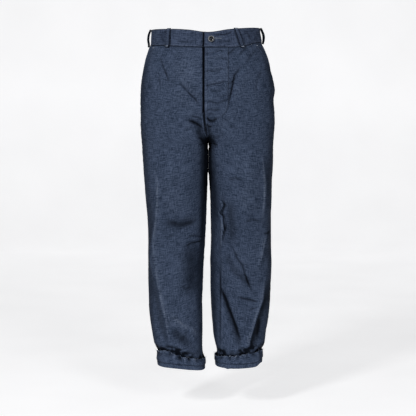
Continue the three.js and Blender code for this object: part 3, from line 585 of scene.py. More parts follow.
def read(rows, key, column, at):
    """Reads one named column of a table as a smooth curve over the key column."""
    keys, values = rows[key], rows[column]
    if keys[-1] < keys[0]:
        keys, values = keys[::-1], values[::-1]
    spans = np.diff(keys)
    slopes = np.diff(values) / spans
    before, after = slopes[:-1], slopes[1:]
    tangents = np.zeros(len(keys))
    same_way = before * after > 0
    both = np.where(same_way, before + after, 1)
    tangents[1:-1] = np.where(same_way, 2 * before * after / both, 0)
    place = np.clip(at, keys[0], keys[-1])
    index = np.clip(np.searchsorted(keys, place, side="right") - 1, 0, len(keys) - 2)
    share = (place - keys[index]) / spans[index]
    square, cube = share**2, share**3
    return (
        (2 * cube - 3 * square + 1) * values[index]
        + (cube - 2 * square + share) * spans[index] * tangents[index]
        + (3 * square - 2 * cube) * values[index + 1]
        + (cube - square) * spans[index] * tangents[index + 1]
    )


def power(value, squareness):
    """A sine or cosine, changed so that its circle becomes squarer."""
    return np.sign(value) * np.abs(value) ** (2 / squareness)


def seat_point(side, around, z, edge):
    """The seat's section: around runs from the front (0) over the side (0.5) to the back (1)."""
    front = around <= 0.5
    step = np.where(front, around, 1 - around)
    angle = math.pi / 2 * (2 * np.maximum(step, 0)) ** 1.6
    squareness = read(SEAT, "z", "squareness", z)
    half = read(SEAT, "z", side, z) * SIGN[side]
    start = np.where(front, edge, 0)
    deep = np.where(front, -read(SEAT, "z", "front", z), read(SEAT, "z", "back", z))
    x = start + (half - start) * power(np.sin(angle), squareness)
    rest = np.maximum(1 - np.abs(x / half) ** squareness, 0) ** (1 / squareness)
    return np.stack(np.broadcast_arrays(x, deep * rest), -1)


def leg_degrees(around):
    """The angle in the leg's tables for places around it, closer together at the inner seam."""
    step = np.where(around <= 0.5, around, 1 - around)
    degrees = 180 * (2 * np.maximum(step, 0)) ** 0.85
    return np.where(around <= 0.5, degrees, 360 - degrees)


def leg_point(side, around, z):
    """A leg's section: around runs from the inner seam (0) over the front to the outer seam (0.5)
    and on over the back to the inner seam again (1)."""
    rows = LEGS[side]
    inner, outer, squareness, turn = (
        read(rows, "z", column, z) for column in ("inner", "outer", "squareness", "turn")
    )
    degrees = leg_degrees(around)
    angle = np.radians(degrees) + np.radians(turn) * (1 - np.abs(degrees - 180) / 360)
    forward = np.sin(angle) >= 0
    deep = np.where(forward, read(rows, "z", "front", z), read(rows, "z", "back", z))
    across = (inner + outer) / 2 - (outer - inner) / 2 * power(np.cos(angle), squareness)
    y = -deep * power(np.sin(angle), squareness)
    return np.stack(np.broadcast_arrays(SIGN[side] * across, y), -1)


def leg_share(around, z):
    """How far the seat's section has become the leg's: fast along the crotch seam."""
    near_seam = 1 - smooth(0, 0.1, np.minimum(around, 1 - around))
    drop = np.clip((FORK_TOP - z) / (FORK_TOP - CROTCH), 0, 1)
    along_seam = 1 - np.sqrt(1 - drop**2)
    elsewhere = smooth(FORK_TOP + 40, CROTCH - 100, z)
    return mix(elsewhere, along_seam, near_seam)


def section(side, around, z, edge):
    """The section of one half at a height, without folds."""
    share = leg_share(around, z)[..., None]
    return mix(seat_point(side, around, z, edge), leg_point(side, around, z), share)


def seam_edge(side, z):
    """Where the front's edge stands at the fly, across from the garment's middle."""
    return read(FLY_EDGES, "z", side, z)


def upright(level, z):
    """Level places or directions with their heights."""
    return np.concatenate([level, np.broadcast_to(z, level.shape[:-1])[..., None]], axis=-1)


def outwards(side, around, z, edge):
    """Unit vectors that point out of the section."""
    step = 0.004
    before = section(side, np.clip(around - step, 0, 1), z, edge)
    after = section(side, np.clip(around + step, 0, 1), z, edge)
    along = after - before
    along /= np.linalg.norm(along, axis=-1, keepdims=True)
    return np.stack([along[..., 1], -along[..., 0]], -1) * SIGN[side]


def fold_lift(fold, x, z, narrow=1.0):
    """Height of one fold at places seen from its face."""
    nearest = np.full(np.shape(x), np.inf)
    signed, place = np.zeros(np.shape(x)), np.zeros(np.shape(x))
    last = len(fold.x) - 1
    for index in range(last):
        along_x, along_z = fold.x[index + 1] - fold.x[index], fold.z[index + 1] - fold.z[index]
        from_x, from_z = x - fold.x[index], z - fold.z[index]
        square = along_x**2 + along_z**2
        share = np.clip((from_x * along_x + from_z * along_z) / square, 0, 1)
        away_x, away_z = from_x - along_x * share, from_z - along_z * share
        away = np.hypot(away_x, away_z)
        closer = away < nearest
        nearest = np.where(closer, away, nearest)
        signed = np.where(closer, along_x * away_z - along_z * away_x, signed)
        place = np.where(closer, (index + share) / last, place)
    width = np.where(signed > 0, fold.width * fold.lean, fold.width) * narrow
    ends = smooth(0, 0.3, place) * smooth(1, 0.7, place)
    return fold.lift * ends * np.exp(-((nearest / width) ** 2))


def folds_at(folds, side, x, z, out_y, width=1.0):
    """All the folds of one half, with their widths as a share of those in the list. They fade
    towards the silhouette."""
    facing = {"front": smooth(0.08, 0.5, -out_y), "back": smooth(0.08, 0.5, out_y)}
    lift = np.zeros(np.shape(x))
    for fold in folds:
        if fold.side == side:
            lift += facing[fold.face] * fold_lift(fold, x, z, width)
    return lift


def noise(place, scale, seed):
    """Smooth values from -1 to 1 that vary over a scale in millimetres. Repeats for each seed."""
    lattice = np.random.default_rng(seed).uniform(-1, 1, (64, 64, 64))
    cell = place / np.asarray(scale, float)
    low = np.floor(cell).astype(int)
    share = cell - low
    share = share * share * (3 - 2 * share)
    total = np.zeros(place.shape[:-1])
    for corner in np.ndindex(2, 2, 2):
        weight = np.prod(np.where(np.array(corner) == 1, share, 1 - share), axis=-1)
        total += weight * lattice[tuple(((low + corner) % 64)[..., axis] for axis in range(3))]
    return total


# Waistband, fly and hem lines


def band_edge(side, around, column):
    """The waistband's edge above or below a place around the waist."""
    edge = np.where(around <= 0.5, seam_edge(side, BAND_LEVEL), 0)
    x = seat_point(side, around, BAND_LEVEL, edge)[..., 0]
    share = np.maximum(x / (read(SEAT, "z", side, BAND_LEVEL) * SIGN[side]), 0)
    return read(BAND_EDGES[side], "across", column, np.where(around <= 0.5, share, 2 - share))


def cuff(side, around, column):
    """One value of the hem's table around a leg."""
    return read(CUFFS[side], "degrees", column, leg_degrees(around))


def height_at(side, around, station):
    """Height at a station, and how far the cloth stands off the leg there. Stations run from the
    waist (0) over the top of the crotch seam (1), the crotch (2) and the hem's fold (3) to the
    turned-up edge (4)."""
    top = band_edge(side, around, "low") - SEAM_GAP
    hem = cuff(side, around, "low") + HEM_FOLD_DROP
    clear = cuff(side, around, "clear")
    fold = math.pi * np.clip((station - 3) / HEM_FOLD_SHARE, 0, 1)
    rise = np.clip((station - 3 - HEM_FOLD_SHARE) / (1 - HEM_FOLD_SHARE), 0, 1)
    to_crotch = np.sin(np.clip(station - 1, 0, 1) * math.pi / 2)
    z = np.select(
        [station <= 1, station <= 2, station <= 3, rise <= 0],
        [
            mix(top, FORK_TOP, station),
            mix(FORK_TOP, CROTCH, to_crotch),
            mix(CROTCH, hem, station - 2),
            hem - HEM_FOLD_DROP * np.sin(fold),
        ],
        mix(hem, cuff(side, around, "high"), rise),
    )
    stands_off = clear / 2 * (1 - np.cos(fold)) * (1 + 0.12 * np.sin(rise * math.pi))
    return z, np.where(station > 3, stands_off, 0)


def mouth_width(z):
    """How far a pocket mouth lies in front of the side seam."""
    return MOUTH_WIDTH * np.clip((z - POCKET_END) / (BAND_LEVEL - POCKET_END), 0, 1.2)


def around_at_distance(side, z, distance):
    """Places around the seat that lie a distance in front of the side seam, one for each height."""
    around = np.linspace(0.5, 0, 260)[None, :]
    points = section(side, around, z[:, None], 0)
    steps = np.linalg.norm(np.diff(points, axis=1), axis=2)
    walked = np.concatenate([np.zeros((len(z), 1)), np.cumsum(steps, axis=1)], axis=1)
    return np.array([np.interp(d, w, around[0]) for d, w in zip(distance, walked)])


def layer_lift(name, x, z, from_mouth):
    """How far a front lies outside the plain section, beside a pocket and at the fly."""
    beside = smooth(26, 4, from_mouth) * smooth(POCKET_END - 4, POCKET_END + 30, z)
    mouth = MOUTH_LIFT * beside
    above_fork = smooth(FORK_TOP - 2, FORK_TOP + 14, z)
    if name == "front_right":
        return mouth - UNDERLAP_DEPTH * smooth(-34, -14, x) * above_fork
    return mouth + OVERLAP_LIFT * smooth(FLY_FACING + 12, FLY_UNDERLAP + 2, x) * above_fork


# Cloth


class Cloth:
    """A grid of places on the middle of one piece of cloth, in millimetres."""

    def __init__(self, point, out, thickness):
        self.point = point
        self.half = np.full(point.shape[:2], thickness / 2)
        # Wear together with painted light and shade: above 0 paler, below 0 darker.
        self.wear_and_painted_light = np.zeros(point.shape[:2])
        self.turn = 1
        self.measure()
        if (self.normal * out).sum() < 0:
            self.turn = -1
            self.measure()

    def measure(self):
        """Distances along both directions, and the cloth's outward direction."""
        across = np.linalg.norm(np.diff(self.point, axis=1), axis=2)
        down = np.linalg.norm(np.diff(self.point, axis=0), axis=2)
        rows, columns = self.point.shape[:2]
        self.start = np.concatenate([np.zeros((rows, 1)), np.cumsum(across, axis=1)], axis=1)
        self.end = self.start[:, -1:] - self.start
        self.top = np.concatenate([np.zeros((1, columns)), np.cumsum(down, axis=0)], axis=0)
        self.bottom = self.top[-1:] - self.top
        normal = np.cross(np.gradient(self.point, axis=0), np.gradient(self.point, axis=1))
        length = np.maximum(np.linalg.norm(normal, axis=2, keepdims=True), 1e-9)
        self.normal = self.turn * normal / length

    def lift(self, amount):
        """Moves the cloth outwards by an amount for each place."""
        self.point = self.point + self.normal * amount[..., None]
        self.measure()

    def place(self, row, column):
        """Points and outward directions on the outer face, at fractional rows and columns."""
        rows, columns = self.half.shape
        low_row = np.clip(np.floor(row).astype(int), 0, rows - 2)
        low_column = np.clip(np.floor(column).astype(int), 0, columns - 2)
        down, across = (row - low_row)[:, None], (column - low_column)[:, None]

        def blend(field):
            upper = mix(field[low_row, low_column], field[low_row, low_column + 1], across)
            lower = mix(field[low_row + 1, low_column], field[low_row + 1, low_column + 1], across)
            return mix(upper, lower, down)

        normal = blend(self.normal)
        normal /= np.linalg.norm(normal, axis=1, keepdims=True)
        return blend(self.point) + normal * blend(self.half[..., None]), normal

    def along_column(self, field, value, rows):
        """A line down the cloth where a field that changes along each row has one value."""
        columns = np.arange(field.shape[1])
        rising = field[0, -1] > field[0, 0]
        order = slice(None) if rising else slice(None, None, -1)
        found = [np.interp(value, field[row][order], columns[order]) for row in rows]
        return np.array(rows, float), np.array(found)

    def along_row(self, field, value, columns):
        """A line across the cloth where a field that rises down each column has one value."""
        rows = np.arange(field.shape[0])
        found = [np.interp(value, field[:, column], rows) for column in columns]
        return np.array(found), np.array(columns, float)

    def find(self, x, z, first_columns=None):
        """Rows and columns of places given as seen from the front, among the first columns."""
        count = first_columns or self.point.shape[1]
        column = np.full(len(x), count / 2)
        rows, columns = np.arange(self.point.shape[0]), np.arange(count)
        for _ in range(8):
            near = np.round(column).astype(int)
            row = np.array([np.interp(-b, -self.point[:, c, 2], rows) for b, c in zip(z, near)])
            across = self.point[np.round(row).astype(int), :count, 0]
            column = np.array([
                np.interp(wanted, np.sort(line), columns[np.argsort(line)])
                for wanted, line in zip(x, across)
            ])
        return row, column


def spaced(total, count):
    """Distances across a piece: fine steps near both seams, and even ones between them."""
    fine = [0, 0.6, 1.2, 1.9, 2.7, 3.7, 4.9, 6.1, 7.1, 7.8, 8.5, 9.3, 10.3, 11.6, 13.4, 16]
    edge = np.array(fine)
    middle = np.linspace(edge[-1], total - edge[-1], count - 2 * len(edge) + 2)[1:-1]
    return np.concatenate([edge, middle, (total - edge)[::-1]])


def panel_stations():
    """Rows of a panel, closer together at the hem and its turned-up edge."""
    return np.concatenate([
        [0, 0.004, 0.01],
        np.linspace(0.018, 1, 70, endpoint=False),
        1 + np.linspace(0, 1, 26, endpoint=False) ** 0.9,
        2 + 0.02 * np.linspace(0, 1, 3, endpoint=False),
        np.linspace(2.02, 3, 196, endpoint=False),
        3 + HEM_FOLD_SHARE * np.linspace(0, 1, 12, endpoint=False),
        3 + mix(HEM_FOLD_SHARE, 1, np.linspace(0, 1, 34)),
    ])


def panel_cloth(name, settings):
    """The cloth of a front or a back, from the waistband to the turned-up hem."""
    face, side = name.split("_")
    front = face == "front"
    stations = panel_stations()
    middle = height_at(side, np.full(len(stations), 0.4), stations)[0]
    outer = np.full(len(stations), 0.5)
    with_mouth = (stations < 1) & (mouth_width(middle) > 0) & front
    at_mouth = middle[with_mouth]
    outer[with_mouth] = around_at_distance(side, at_mouth, mouth_width(at_mouth))

    dense = mix(0 if front else 1, outer[:, None], np.linspace(0, 1, 300)[None, :])
    level_edge = seam_edge(side, middle)[:, None]
    steps = np.diff(section(side, dense, middle[:, None], level_edge), axis=1)
    walked = np.cumsum(np.linalg.norm(steps, axis=2), axis=1)
    walked = np.concatenate([np.zeros((len(stations), 1)), walked], axis=1)
    columns = FRONT_COLUMNS if front else BACK_COLUMNS
    wanted = [spaced(line[-1], columns) for line in walked]
    around = np.stack([np.interp(*lines) for lines in zip(wanted, walked, dense)])

    station = np.broadcast_to(stations[:, None], around.shape)
    from_mouth = walked[:, -1:] - np.stack(wanted)
    from_mouth = np.where(middle[:, None] > POCKET_END - 40, from_mouth, np.inf)
    z, clear = height_at(side, around, station)
    edge = seam_edge(side, z)
    flat = section(side, around, z, edge)
    out = outwards(side, around, z, edge)
    calm = mix(0.35, 1, smooth(-885, -850, z))
    folds = folds_at(FOLDS, side, flat[..., 0], z, out[..., 1]) * calm * FOLD_SHARE
    lift = folds + clear
    if front:
        lift = lift + layer_lift(name, flat[..., 0], z, from_mouth)
    moved = flat + out * lift[..., None]
    moved[..., 0] -= SIGN[side] * pressed(moved[..., 0], z)
    point, facing = upright(moved, z), upright(out, 0)
    body = station < 3
    cloth = Cloth(point, facing * body[..., None], CLOTH)
    cloth.station, cloth.around = station, around
    cloth.side, cloth.front, cloth.facing = side, front, facing
    cloth.folds = np.where(body, folds, 0)

    turned = station > 3 + HEM_FOLD_SHARE / 2
    strays = noise(point, (17, 17, 17), 91) * 1.9, noise(point, (17, 17, 17), 93) * 1.9
    creases = folds_at(
        CREASES, side, point[..., 0] + strays[0], z + strays[1], out[..., 1], CREASE_WIDTH
    )
    creases *= calm * mix(0.35, 1.15, 0.5 + 0.5 * noise(point, (21, 21, 21), 95))
    over_cuff = z - cuff(side, around, "high")
    bunched = (1 - 2 * np.abs(noise(point, (14, 14, 8), 89))) * 2.4 * smooth(36, 4, over_cuff)
    relief = creases * settings.crease_depth + crumple(point, settings) + bunched
    relief = np.where(turned, 0, relief)
    relief = relief + seam_relief(cloth, name)
    hem_lift, hem_shift, cloth.waves = hem_relief(cloth, settings)
    relief = relief * smooth(0, 6, cloth.top) * hold_seams(cloth)
    cloth.lift(np.where(turned, hem_lift, relief))
    cloth.point[..., 2] += hem_shift
    draw_in(cloth)
    cloth.measure()
    set_edge_normals(cloth)
    cloth.wear_and_painted_light = np.clip(panel_wear_and_painted_light(cloth, creases, name), -1, 1)
    return cloth


def pressed(x, z):
    """How far the thighs are pressed towards each other just below the crotch."""
    return THIGH_PRESS * smooth(-311, -319, z) * smooth(-378, -362, z) * smooth(15, 6, np.abs(x))


def crumple(point, settings):
    """Small unevenness of washed linen: soft dents, and short wrinkles that lie across the leg."""
    dents = noise(point, (46, 46, 74), 3) * 1.1 + noise(point, (19, 19, 27), 5) * 0.5
    wrinkles = 1 - 2 * np.abs(noise(point, (26, 26, 8), 8))
    upright = 1 - 2 * np.abs(noise(point, (9, 9, 40), 13))
    patches = smooth(-0.1, 0.5, noise(point, (60, 60, 70), 21))
    fine = noise(point, (7, 7, 7), 34) * 0.16
    short = (0.42 * wrinkles + 0.24 * upright) * patches
    return settings.crumple * (dents + short + fine)


def felled(distance):
    """The raised strip of a felled seam, with a groove along each of its two stitch lines."""
    strip = smooth(FELL_WIDTH + 1.4, FELL_WIDTH + 0.4, distance) * smooth(0, 0.8, distance)
    grooves = bump(distance, 1.6, 0.8) + bump(distance, FELL_WIDTH - 0.8, 0.9)
    return 0.75 * strip - 0.35 * grooves


def pucker(cloth, distance, seed):
    """Gathers that the thread pulls into the cloth beside a seam."""
    along = np.stack([cloth.top, np.zeros_like(cloth.top), np.zeros_like(cloth.top)], axis=-1)
    waves = noise(along, (7, 7, 7), seed) + 0.6 * noise(along, (3.4, 3.4, 3.4), seed + 1)
    return 0.5 * waves * bump(distance, 5, 5.5)


def seam_relief(cloth, name):
    """Relief along the edges of a panel and along the stitching of the fly."""
    station, z = cloth.station, cloth.point[..., 2]
    above_fork = smooth(1.04, 0.98, station)
    in_body = smooth(3.0, 2.96, station)
    inner = felled(cloth.start) + pucker(cloth, cloth.start, 41)
    outer = -0.8 * bump(cloth.end, 0, 1.4) + pucker(cloth, cloth.end, 43)
    if not cloth.front:
        return in_body * ((inner * (1 if cloth.side == "right" else 0.35)) + outer * 0.7)
    at_mouth = smooth(POCKET_END - 6, POCKET_END + 6, z)
    mouth = 0.7 * smooth(9, 5, cloth.end) - 0.5 * bump(cloth.end, 1.6, 0.8)
    mouth = mouth - 0.6 * bump(cloth.end, 7, 1.1) + pucker(cloth, cloth.end, 47)
    relief = mix(outer, mouth, at_mouth)
    if name == "front_left":
        overlap = 0.5 * smooth(13, 3, cloth.start) - 1.2 * bump(cloth.start, 0, 1.3)
        relief = relief + mix(inner, overlap + 0.5 * pucker(cloth, cloth.start, 51), above_fork)
        away = np.abs(j_stitch_side(cloth.point[..., 0], z))
        relief = relief - 0.55 * bump(away, 0, 1.3) * in_body
        relief = relief + 0.35 * pucker(cloth, away + 4, 53) * smooth(14, 0, away) * above_fork
    else:
        under = -FLY_SLOT * covered(cloth.point[..., 0], z)
        relief = relief + mix(inner, under, above_fork)
    return relief * in_body


def covered(x, z):
    """Where the wearer's right front lies under the overlap of the fly."""
    return smooth(-15.4, -12.8, x) * smooth(*SLOT_FADE, z)


def j_stitch_side(x, z):
    """Distance from the fly's stitch line, which runs down and curves in to the crotch seam."""
    bend = np.clip((FLY_STITCH["bend"] - z) / FLY_STITCH["drop"], 0, 1)
    inwards = 1 - np.sqrt(np.maximum(1 - bend**2, 0))
    line = mix(FLY_STITCH["x"], FLY_STITCH["foot"], inwards)
    return np.where(z > FORK_TOP + 2, x - line, 99)


def j_stitch_path():
    """The fly's stitch line as seen from the front."""
    straight, foot, bend = FLY_STITCH["x"], FLY_STITCH["foot"], FLY_STITCH["bend"]
    angle = np.linspace(0, math.pi / 2 * 0.94, 40)
    height = np.linspace(FLY_STITCH["top"], bend, 60, endpoint=False)
    x = [np.full(len(height), straight), foot + (straight - foot) * np.cos(angle)]
    z = [height, bend - FLY_STITCH["drop"] * np.sin(angle)]
    return np.concatenate(x), np.concatenate(z)


def hem_relief(cloth, settings):
    """How the turned-up hem stands away from the leg, and how its cut edge wanders up and down.
    The cloth's wrong side shows there, so outwards is the other way round."""
    share = np.clip((cloth.station - 3 - HEM_FOLD_SHARE) / (1 - HEM_FOLD_SHARE), 0, 1)
    degrees = leg_degrees(cloth.around)
    rows = zip(*HEM_WAVES[cloth.side].values())
    waves = sum(lift * bump(degrees, at, width) for at, width, lift in rows)
    ragged = noise(cloth.point, (10, 10, 9), 61) * 1.5 + noise(cloth.point, (5, 5, 5), 67) * 0.6
    from_fold = cloth.point[..., 2] - cuff(cloth.side, cloth.around, "low")
    allowance = 1.3 * smooth(HEM_STITCH, HEM_STITCH + 1.6, from_fold)
    stitched = -1.5 * bump(from_fold, HEM_STITCH, 1.5)
    dents = noise(cloth.point, (14, 14, 10), 71) * 0.8 * smooth(0, 0.2, share)
    seam = felled(cloth.start) * 1.6 * share - 1.4 * bump(cloth.end, 0, 2)
    waves = waves * share**HEM_STIFFNESS
    out = waves + ragged * share**2 + allowance + stitched + dents + seam
    out = out * settings.hem_wave * smooth(0, 0.08, share)
    wander = noise(cloth.point, (15, 15, 40), 73) * 2.6
    wander = wander + noise(cloth.point, (4.5, 4.5, 40), 79) * 1.5
    wander = wander + 0.6 * np.abs(waves)
    return -out, wander * share**2, waves


def hold_seams(cloth):
    """Fades free relief where two pieces are sewn to each other, but keeps the hem free."""
    from_seam = np.minimum(cloth.start, cloth.end)
    return np.where(cloth.station > 3, 1, mix(0.25, 1, smooth(0, 3, from_seam)))


def draw_in(cloth):
    """Leaves half a sewn gap at both ends of each row."""
    for end, following in ((0, 1), (-1, -2)):
        step = cloth.point[:, following] - cloth.point[:, end]
        step /= np.linalg.norm(step, axis=1, keepdims=True)
        cloth.point[:, end] += step * SEWN_GAP / 2


def set_edge_normals(cloth):
    """Level under the waistband, and square to the run of the crotch seam along that seam."""
    cloth.normal[0, :, 2] = 0
    cloth.normal[0] /= np.linalg.norm(cloth.normal[0], axis=1, keepdims=True)
    on_seam = (cloth.station[:, 0] > 1) & (cloth.station[:, 0] <= 2.01)
    run = np.gradient(cloth.point[:, 0], axis=0)
    turn = -1 if cloth.front else 1
    square = np.stack([np.zeros(len(run)), -turn * run[:, 2], turn * run[:, 1]], axis=-1)
    square /= np.linalg.norm(square, axis=1, keepdims=True)
    for column, share in ((0, 1), (1, 0.7), (2, 0.35)):
        normal = mix(cloth.normal[on_seam, column], square[on_seam], share)
        cloth.normal[on_seam, column] = normal / np.linalg.norm(normal, axis=1, keepdims=True)


def panel_wear_and_painted_light(cloth, creases, name):
    """Above 0 where the cloth is paler: washing wear on edges and seams, painted highlights on
    ridges.
    Below 0 where it is darker: painted shade in creases and beside seams, painted shadow under the
    overlap of the fly."""
    x, z = cloth.point[..., 0], cloth.point[..., 2]
    above_fork = smooth(1.06, 1.0, cloth.station)
    pale = 0.25 * bump(cloth.start, FELL_WIDTH - 2, 2) + 0.3 * bump(cloth.end, 4, 1.5)
    # Painted highlights on the ridges of creases and folds.
    pale += 0.12 * np.clip(creases, 0, 2) + 0.03 * np.clip(cloth.folds, 0, 6)
    pale += 0.35 * bump(cloth.station, 3 + HEM_FOLD_SHARE / 2, 0.1)
    pale += 0.6 * bump(cloth.bottom, 0, 2.2)
    # Painted shade in creases, beside the felled strip, along the side seam, under the waistband,
    # in the hollows of folds and towards the sides of each leg.
    deep = 0.42 * np.clip(-creases, 0, 2.2) + 0.35 * bump(cloth.start, FELL_WIDTH + 0.6, 0.9)
    deep += 0.8 * bump(cloth.end, 0, 2) + 0.4 * bump(cloth.top, 0, 2.5)
    deep += 0.02 * np.clip(-cloth.folds, 0, 7)
    deep += 0.5 * smooth(0.75, 0.97, np.abs(cloth.facing[..., 0]))
    # Painted shade along the fly's edge and the crotch seam, and between the thighs.
    if cloth.front:
        deep += 0.9 * bump(cloth.start, 0, 2.4) * smooth(2.3, 1.9, cloth.station)
        deep += 1.2 * bump(cloth.start, 0, 2.6) * smooth(-196, -206, z) * (cloth.station < 2.05)
    between = smooth(-262, -290, z) * smooth(-500, -380, z)
    deep += 1.3 * smooth(13, 4, np.abs(x)) * between
    # Painted light and shade from the table along folds.
    painted_light_and_shade = folds_at(PAINTED_LIGHT_AND_SHADE, cloth.side, x, z, cloth.facing[..., 1]) * (cloth.station < 3)
    # Painted shade above the hems, where the legs meet them, and in the bunched cloth there.
    over_cuff = z - cuff(cloth.side, cloth.around, "high")
    deep += 0.9 * smooth(9, -1, over_cuff) * (cloth.station < 3)
    bunched = smooth(-0.15, 0.5, noise(cloth.point, (11, 11, 9), 87))
    deep += 0.5 * bunched * smooth(34, 8, over_cuff) * (cloth.station < 3)
    # Painted shade and painted highlights where the legs are crumpled into the hems.
    rucked = noise(cloth.point, (12, 12, 6), 91) + 0.6 * noise(cloth.point, (5, 5, 4), 93)
    for side, at, width in CRUMPLED:
        if side == cloth.side and cloth.front:
            near = bump(x, at, width) * smooth(30, 8, over_cuff) * (cloth.station < 3)
            deep += 1.7 * near * smooth(-0.2, 0.25, rucked)
            pale += 0.5 * near * smooth(-0.3, -0.6, rucked)
    # Painted shade in the turned-up hems, where their waves sink and in the groove of the hem
    # stitching, and painted highlights where the waves rise.
    deep += 0.5 * bunched * smooth(3.6, 4, cloth.station)
    deep += 0.28 * np.clip(-cloth.waves, 0, 4)
    pale += 0.08 * np.clip(cloth.waves, 0, 5)
    from_fold = z - cuff(cloth.side, cloth.around, "low")
    deep += 0.7 * bump(from_fold, HEM_STITCH, 1.6) * (cloth.station > 3 + HEM_FOLD_SHARE)
    # Painted shade at the fly's edge and in its stitch groove, a painted highlight beside it, and
    # painted shadow under the overlap on the right front.
    if name == "front_left":
        deep += 1.2 * bump(cloth.start, 0, 1.5) * above_fork
        deep += 0.8 * bump(j_stitch_side(x, z), 0, 1.3)
        pale += 0.25 * bump(j_stitch_side(x, z), -3, 1.5)
    elif name == "front_right":
        deep += 1.6 * smooth(-16.6, -14.4, x) * smooth(*SLOT_FADE, z)
    patches = 0.5 + 0.5 * noise(cloth.point, (11, 11, 11), 83)
    return (pale + np.maximum(painted_light_and_shade, 0)) * mix(0.4, 1.2, patches) + np.minimum(painted_light_and_shade, 0) - deep


def keep_on_side(side, front, points):
    """Below the fly and at the back, each half stays on its own side of the middle seam."""
    x, z = points[..., 0], points[..., 2]
    seam = seam_edge(side, np.minimum(z, FORK_TOP))
    if not front:
        seam = np.where(z < FORK_TOP, seam * smooth(FORK_TOP - 20, CROTCH, z), 0)
    reach = np.maximum((x - seam) * SIGN[side], SEWN_GAP / 2)
    kept = seam + reach * SIGN[side]
    free = front & (z >= FORK_TOP + 1)
    moved = points.copy()
    moved[..., 0] = np.where(free, x, kept)
    return moved


def pocket_cloth(side, settings):
    """The facing seen in a pocket's mouth, set back behind the front's slanted edge."""
    rows, columns = FACING_GRID
    top = band_edge(side, np.array(0.4), "low") - SEAM_GAP
    height = np.linspace(top, POCKET_END - 14, rows)
    station = np.broadcast_to(((top - height) / (top - FORK_TOP))[:, None], (rows, columns))
    tucked = mouth_width(height) + FACING_TUCK
    inner = around_at_distance(side, height, tucked)
    share = np.linspace(0, 1, columns)
    around = mix(inner[:, None], 0.5, share[None, :])
    distance = tucked[:, None] * (1 - share)
    z, _ = height_at(side, around, station)
    edge = seam_edge(side, z)
    flat = section(side, around, z, edge)
    out = outwards(side, around, z, edge)
    deep = CLOTH + 4 * LAYER_GAP
    mouth = mouth_width(z) + 1
    under = smooth(0.2, 0.85, distance / mouth)
    at_side = smooth(POCKET_END + 40, POCKET_END + 14, z)
    lift = folds_at(FOLDS, side, flat[..., 0], z, out[..., 1]) - deep * np.maximum(under, at_side)
    point = upright(flat + out * lift[..., None], z)
    cloth = Cloth(point, upright(out, 0), CLOTH)
    cloth.lift(crumple(point, settings) * 0.4 * smooth(0, 8, cloth.top) * smooth(0, 6, cloth.end))
    draw_in(cloth)
    cloth.measure()
    return cloth


def front_around(side, distance, z):
    """The place around the front whose distance from the middle is given."""
    around = np.linspace(0, 0.5, 1500)
    reach = np.abs(section(side, around, np.full(1500, float(z)), 0)[:, 0])
    return np.interp(distance, reach, around)


def fly_stand_cloth(settings):
    """The strip behind the fly that carries its buttons, under the left front's overlap."""
    rows, columns = STAND_GRID
    height = np.linspace(band_edge("left", np.array(0.0), "low") - SEAM_GAP, STAND_END, rows)
    x = np.linspace(-1 + SEAM_GAP, FLY_UNDERLAP, columns)
    around = np.stack([front_around("left", np.maximum(x, 0), z) for z in height])
    z = np.broadcast_to(height[:, None], around.shape)
    flat = section("left", around, z, 0)
    out = outwards("left", np.maximum(around, 0.02), z, 0)
    wide = np.broadcast_to(x, around.shape)
    point = np.stack([wide, flat[..., 1] - out[..., 1] * STAND_DEPTH, z], axis=-1)
    cloth = Cloth(point, upright(out, 0), CLOTH)
    cloth.lift(crumple(point, settings) * 0.15 * smooth(0, 8, cloth.top))
    return cloth


def waist_line(run, z):
    """The waist's line, by a running number: 0 to 1 over the left half from front to back, 1 to 2
    over the right half to the front. Below 0 and above 2 it runs on past the middle."""
    left = ((run >= 0) & (run <= 1)) | (run > 2)
    around = np.select([run < 0, run <= 1, run <= 2], [-run, run, 2 - run], run - 2)
    on_left = section("left", around, z, 0)
    on_right = section("right", around, z, 0)
    return left, around, np.where(left[..., None], on_left, on_right)


def band_place(run, z):
    """Places on the middle of the waistband, and its outward direction."""
    _, _, point = waist_line(run, z)
    before = waist_line(run - 0.012, z)[2]
    after = waist_line(run + 0.012, z)[2]
    along = after - before
    along /= np.linalg.norm(along, axis=-1, keepdims=True)
    out = np.stack([along[..., 1], -along[..., 0], np.zeros_like(z)], axis=-1)
    half = (BAND_SOLID + LAYER_GAP) / 2
    x = point[..., 0]
    over = half * smooth(FLY_FACING + 20, FLY_UNDERLAP + 4, x) * (run < 0.5)
    under = half * smooth(-46, -16, x) * (run > 1.5)
    under = under + BAND_SLOT * smooth(-15.6, -13, x) * (run > 1.5)
    return upright(point, z) + out * (over - under)[..., None], out


def band_heights(run):
    """Lower and upper edge of the waistband at running places."""
    height = np.full(np.shape(run), float(BAND_LEVEL))
    left, around, point = waist_line(run, height)
    halves = np.where(left, read(SEAT, "z", "left", height), read(SEAT, "z", "right", height))
    share = np.abs(point[..., 0]) / halves
    across = np.where(around <= 0.5, share, 2 - share)
    edges = []
    for column in ("low", "high"):
        sides = [read(BAND_EDGES[side], "across", column, across) for side in ("left", "right")]
        edges.append(np.where(left, *sides))
    return edges


def band_runs(count):
    """Running places at even distances, from the overlap to the underlap."""
    start = -front_around("right", FLY_OVERLAP, WAIST_LEVEL)
    finish = 2 + front_around("left", FLY_UNDERLAP, WAIST_LEVEL)
    run = np.linspace(start, finish, 6000)
    point = waist_line(run, np.full(len(run), float(WAIST_LEVEL)))[2]
    steps = np.linalg.norm(np.diff(point, axis=0), axis=1)
    walked = np.concatenate([[0], np.cumsum(steps)])
    return np.interp(np.linspace(0, walked[-1], count), walked, run)


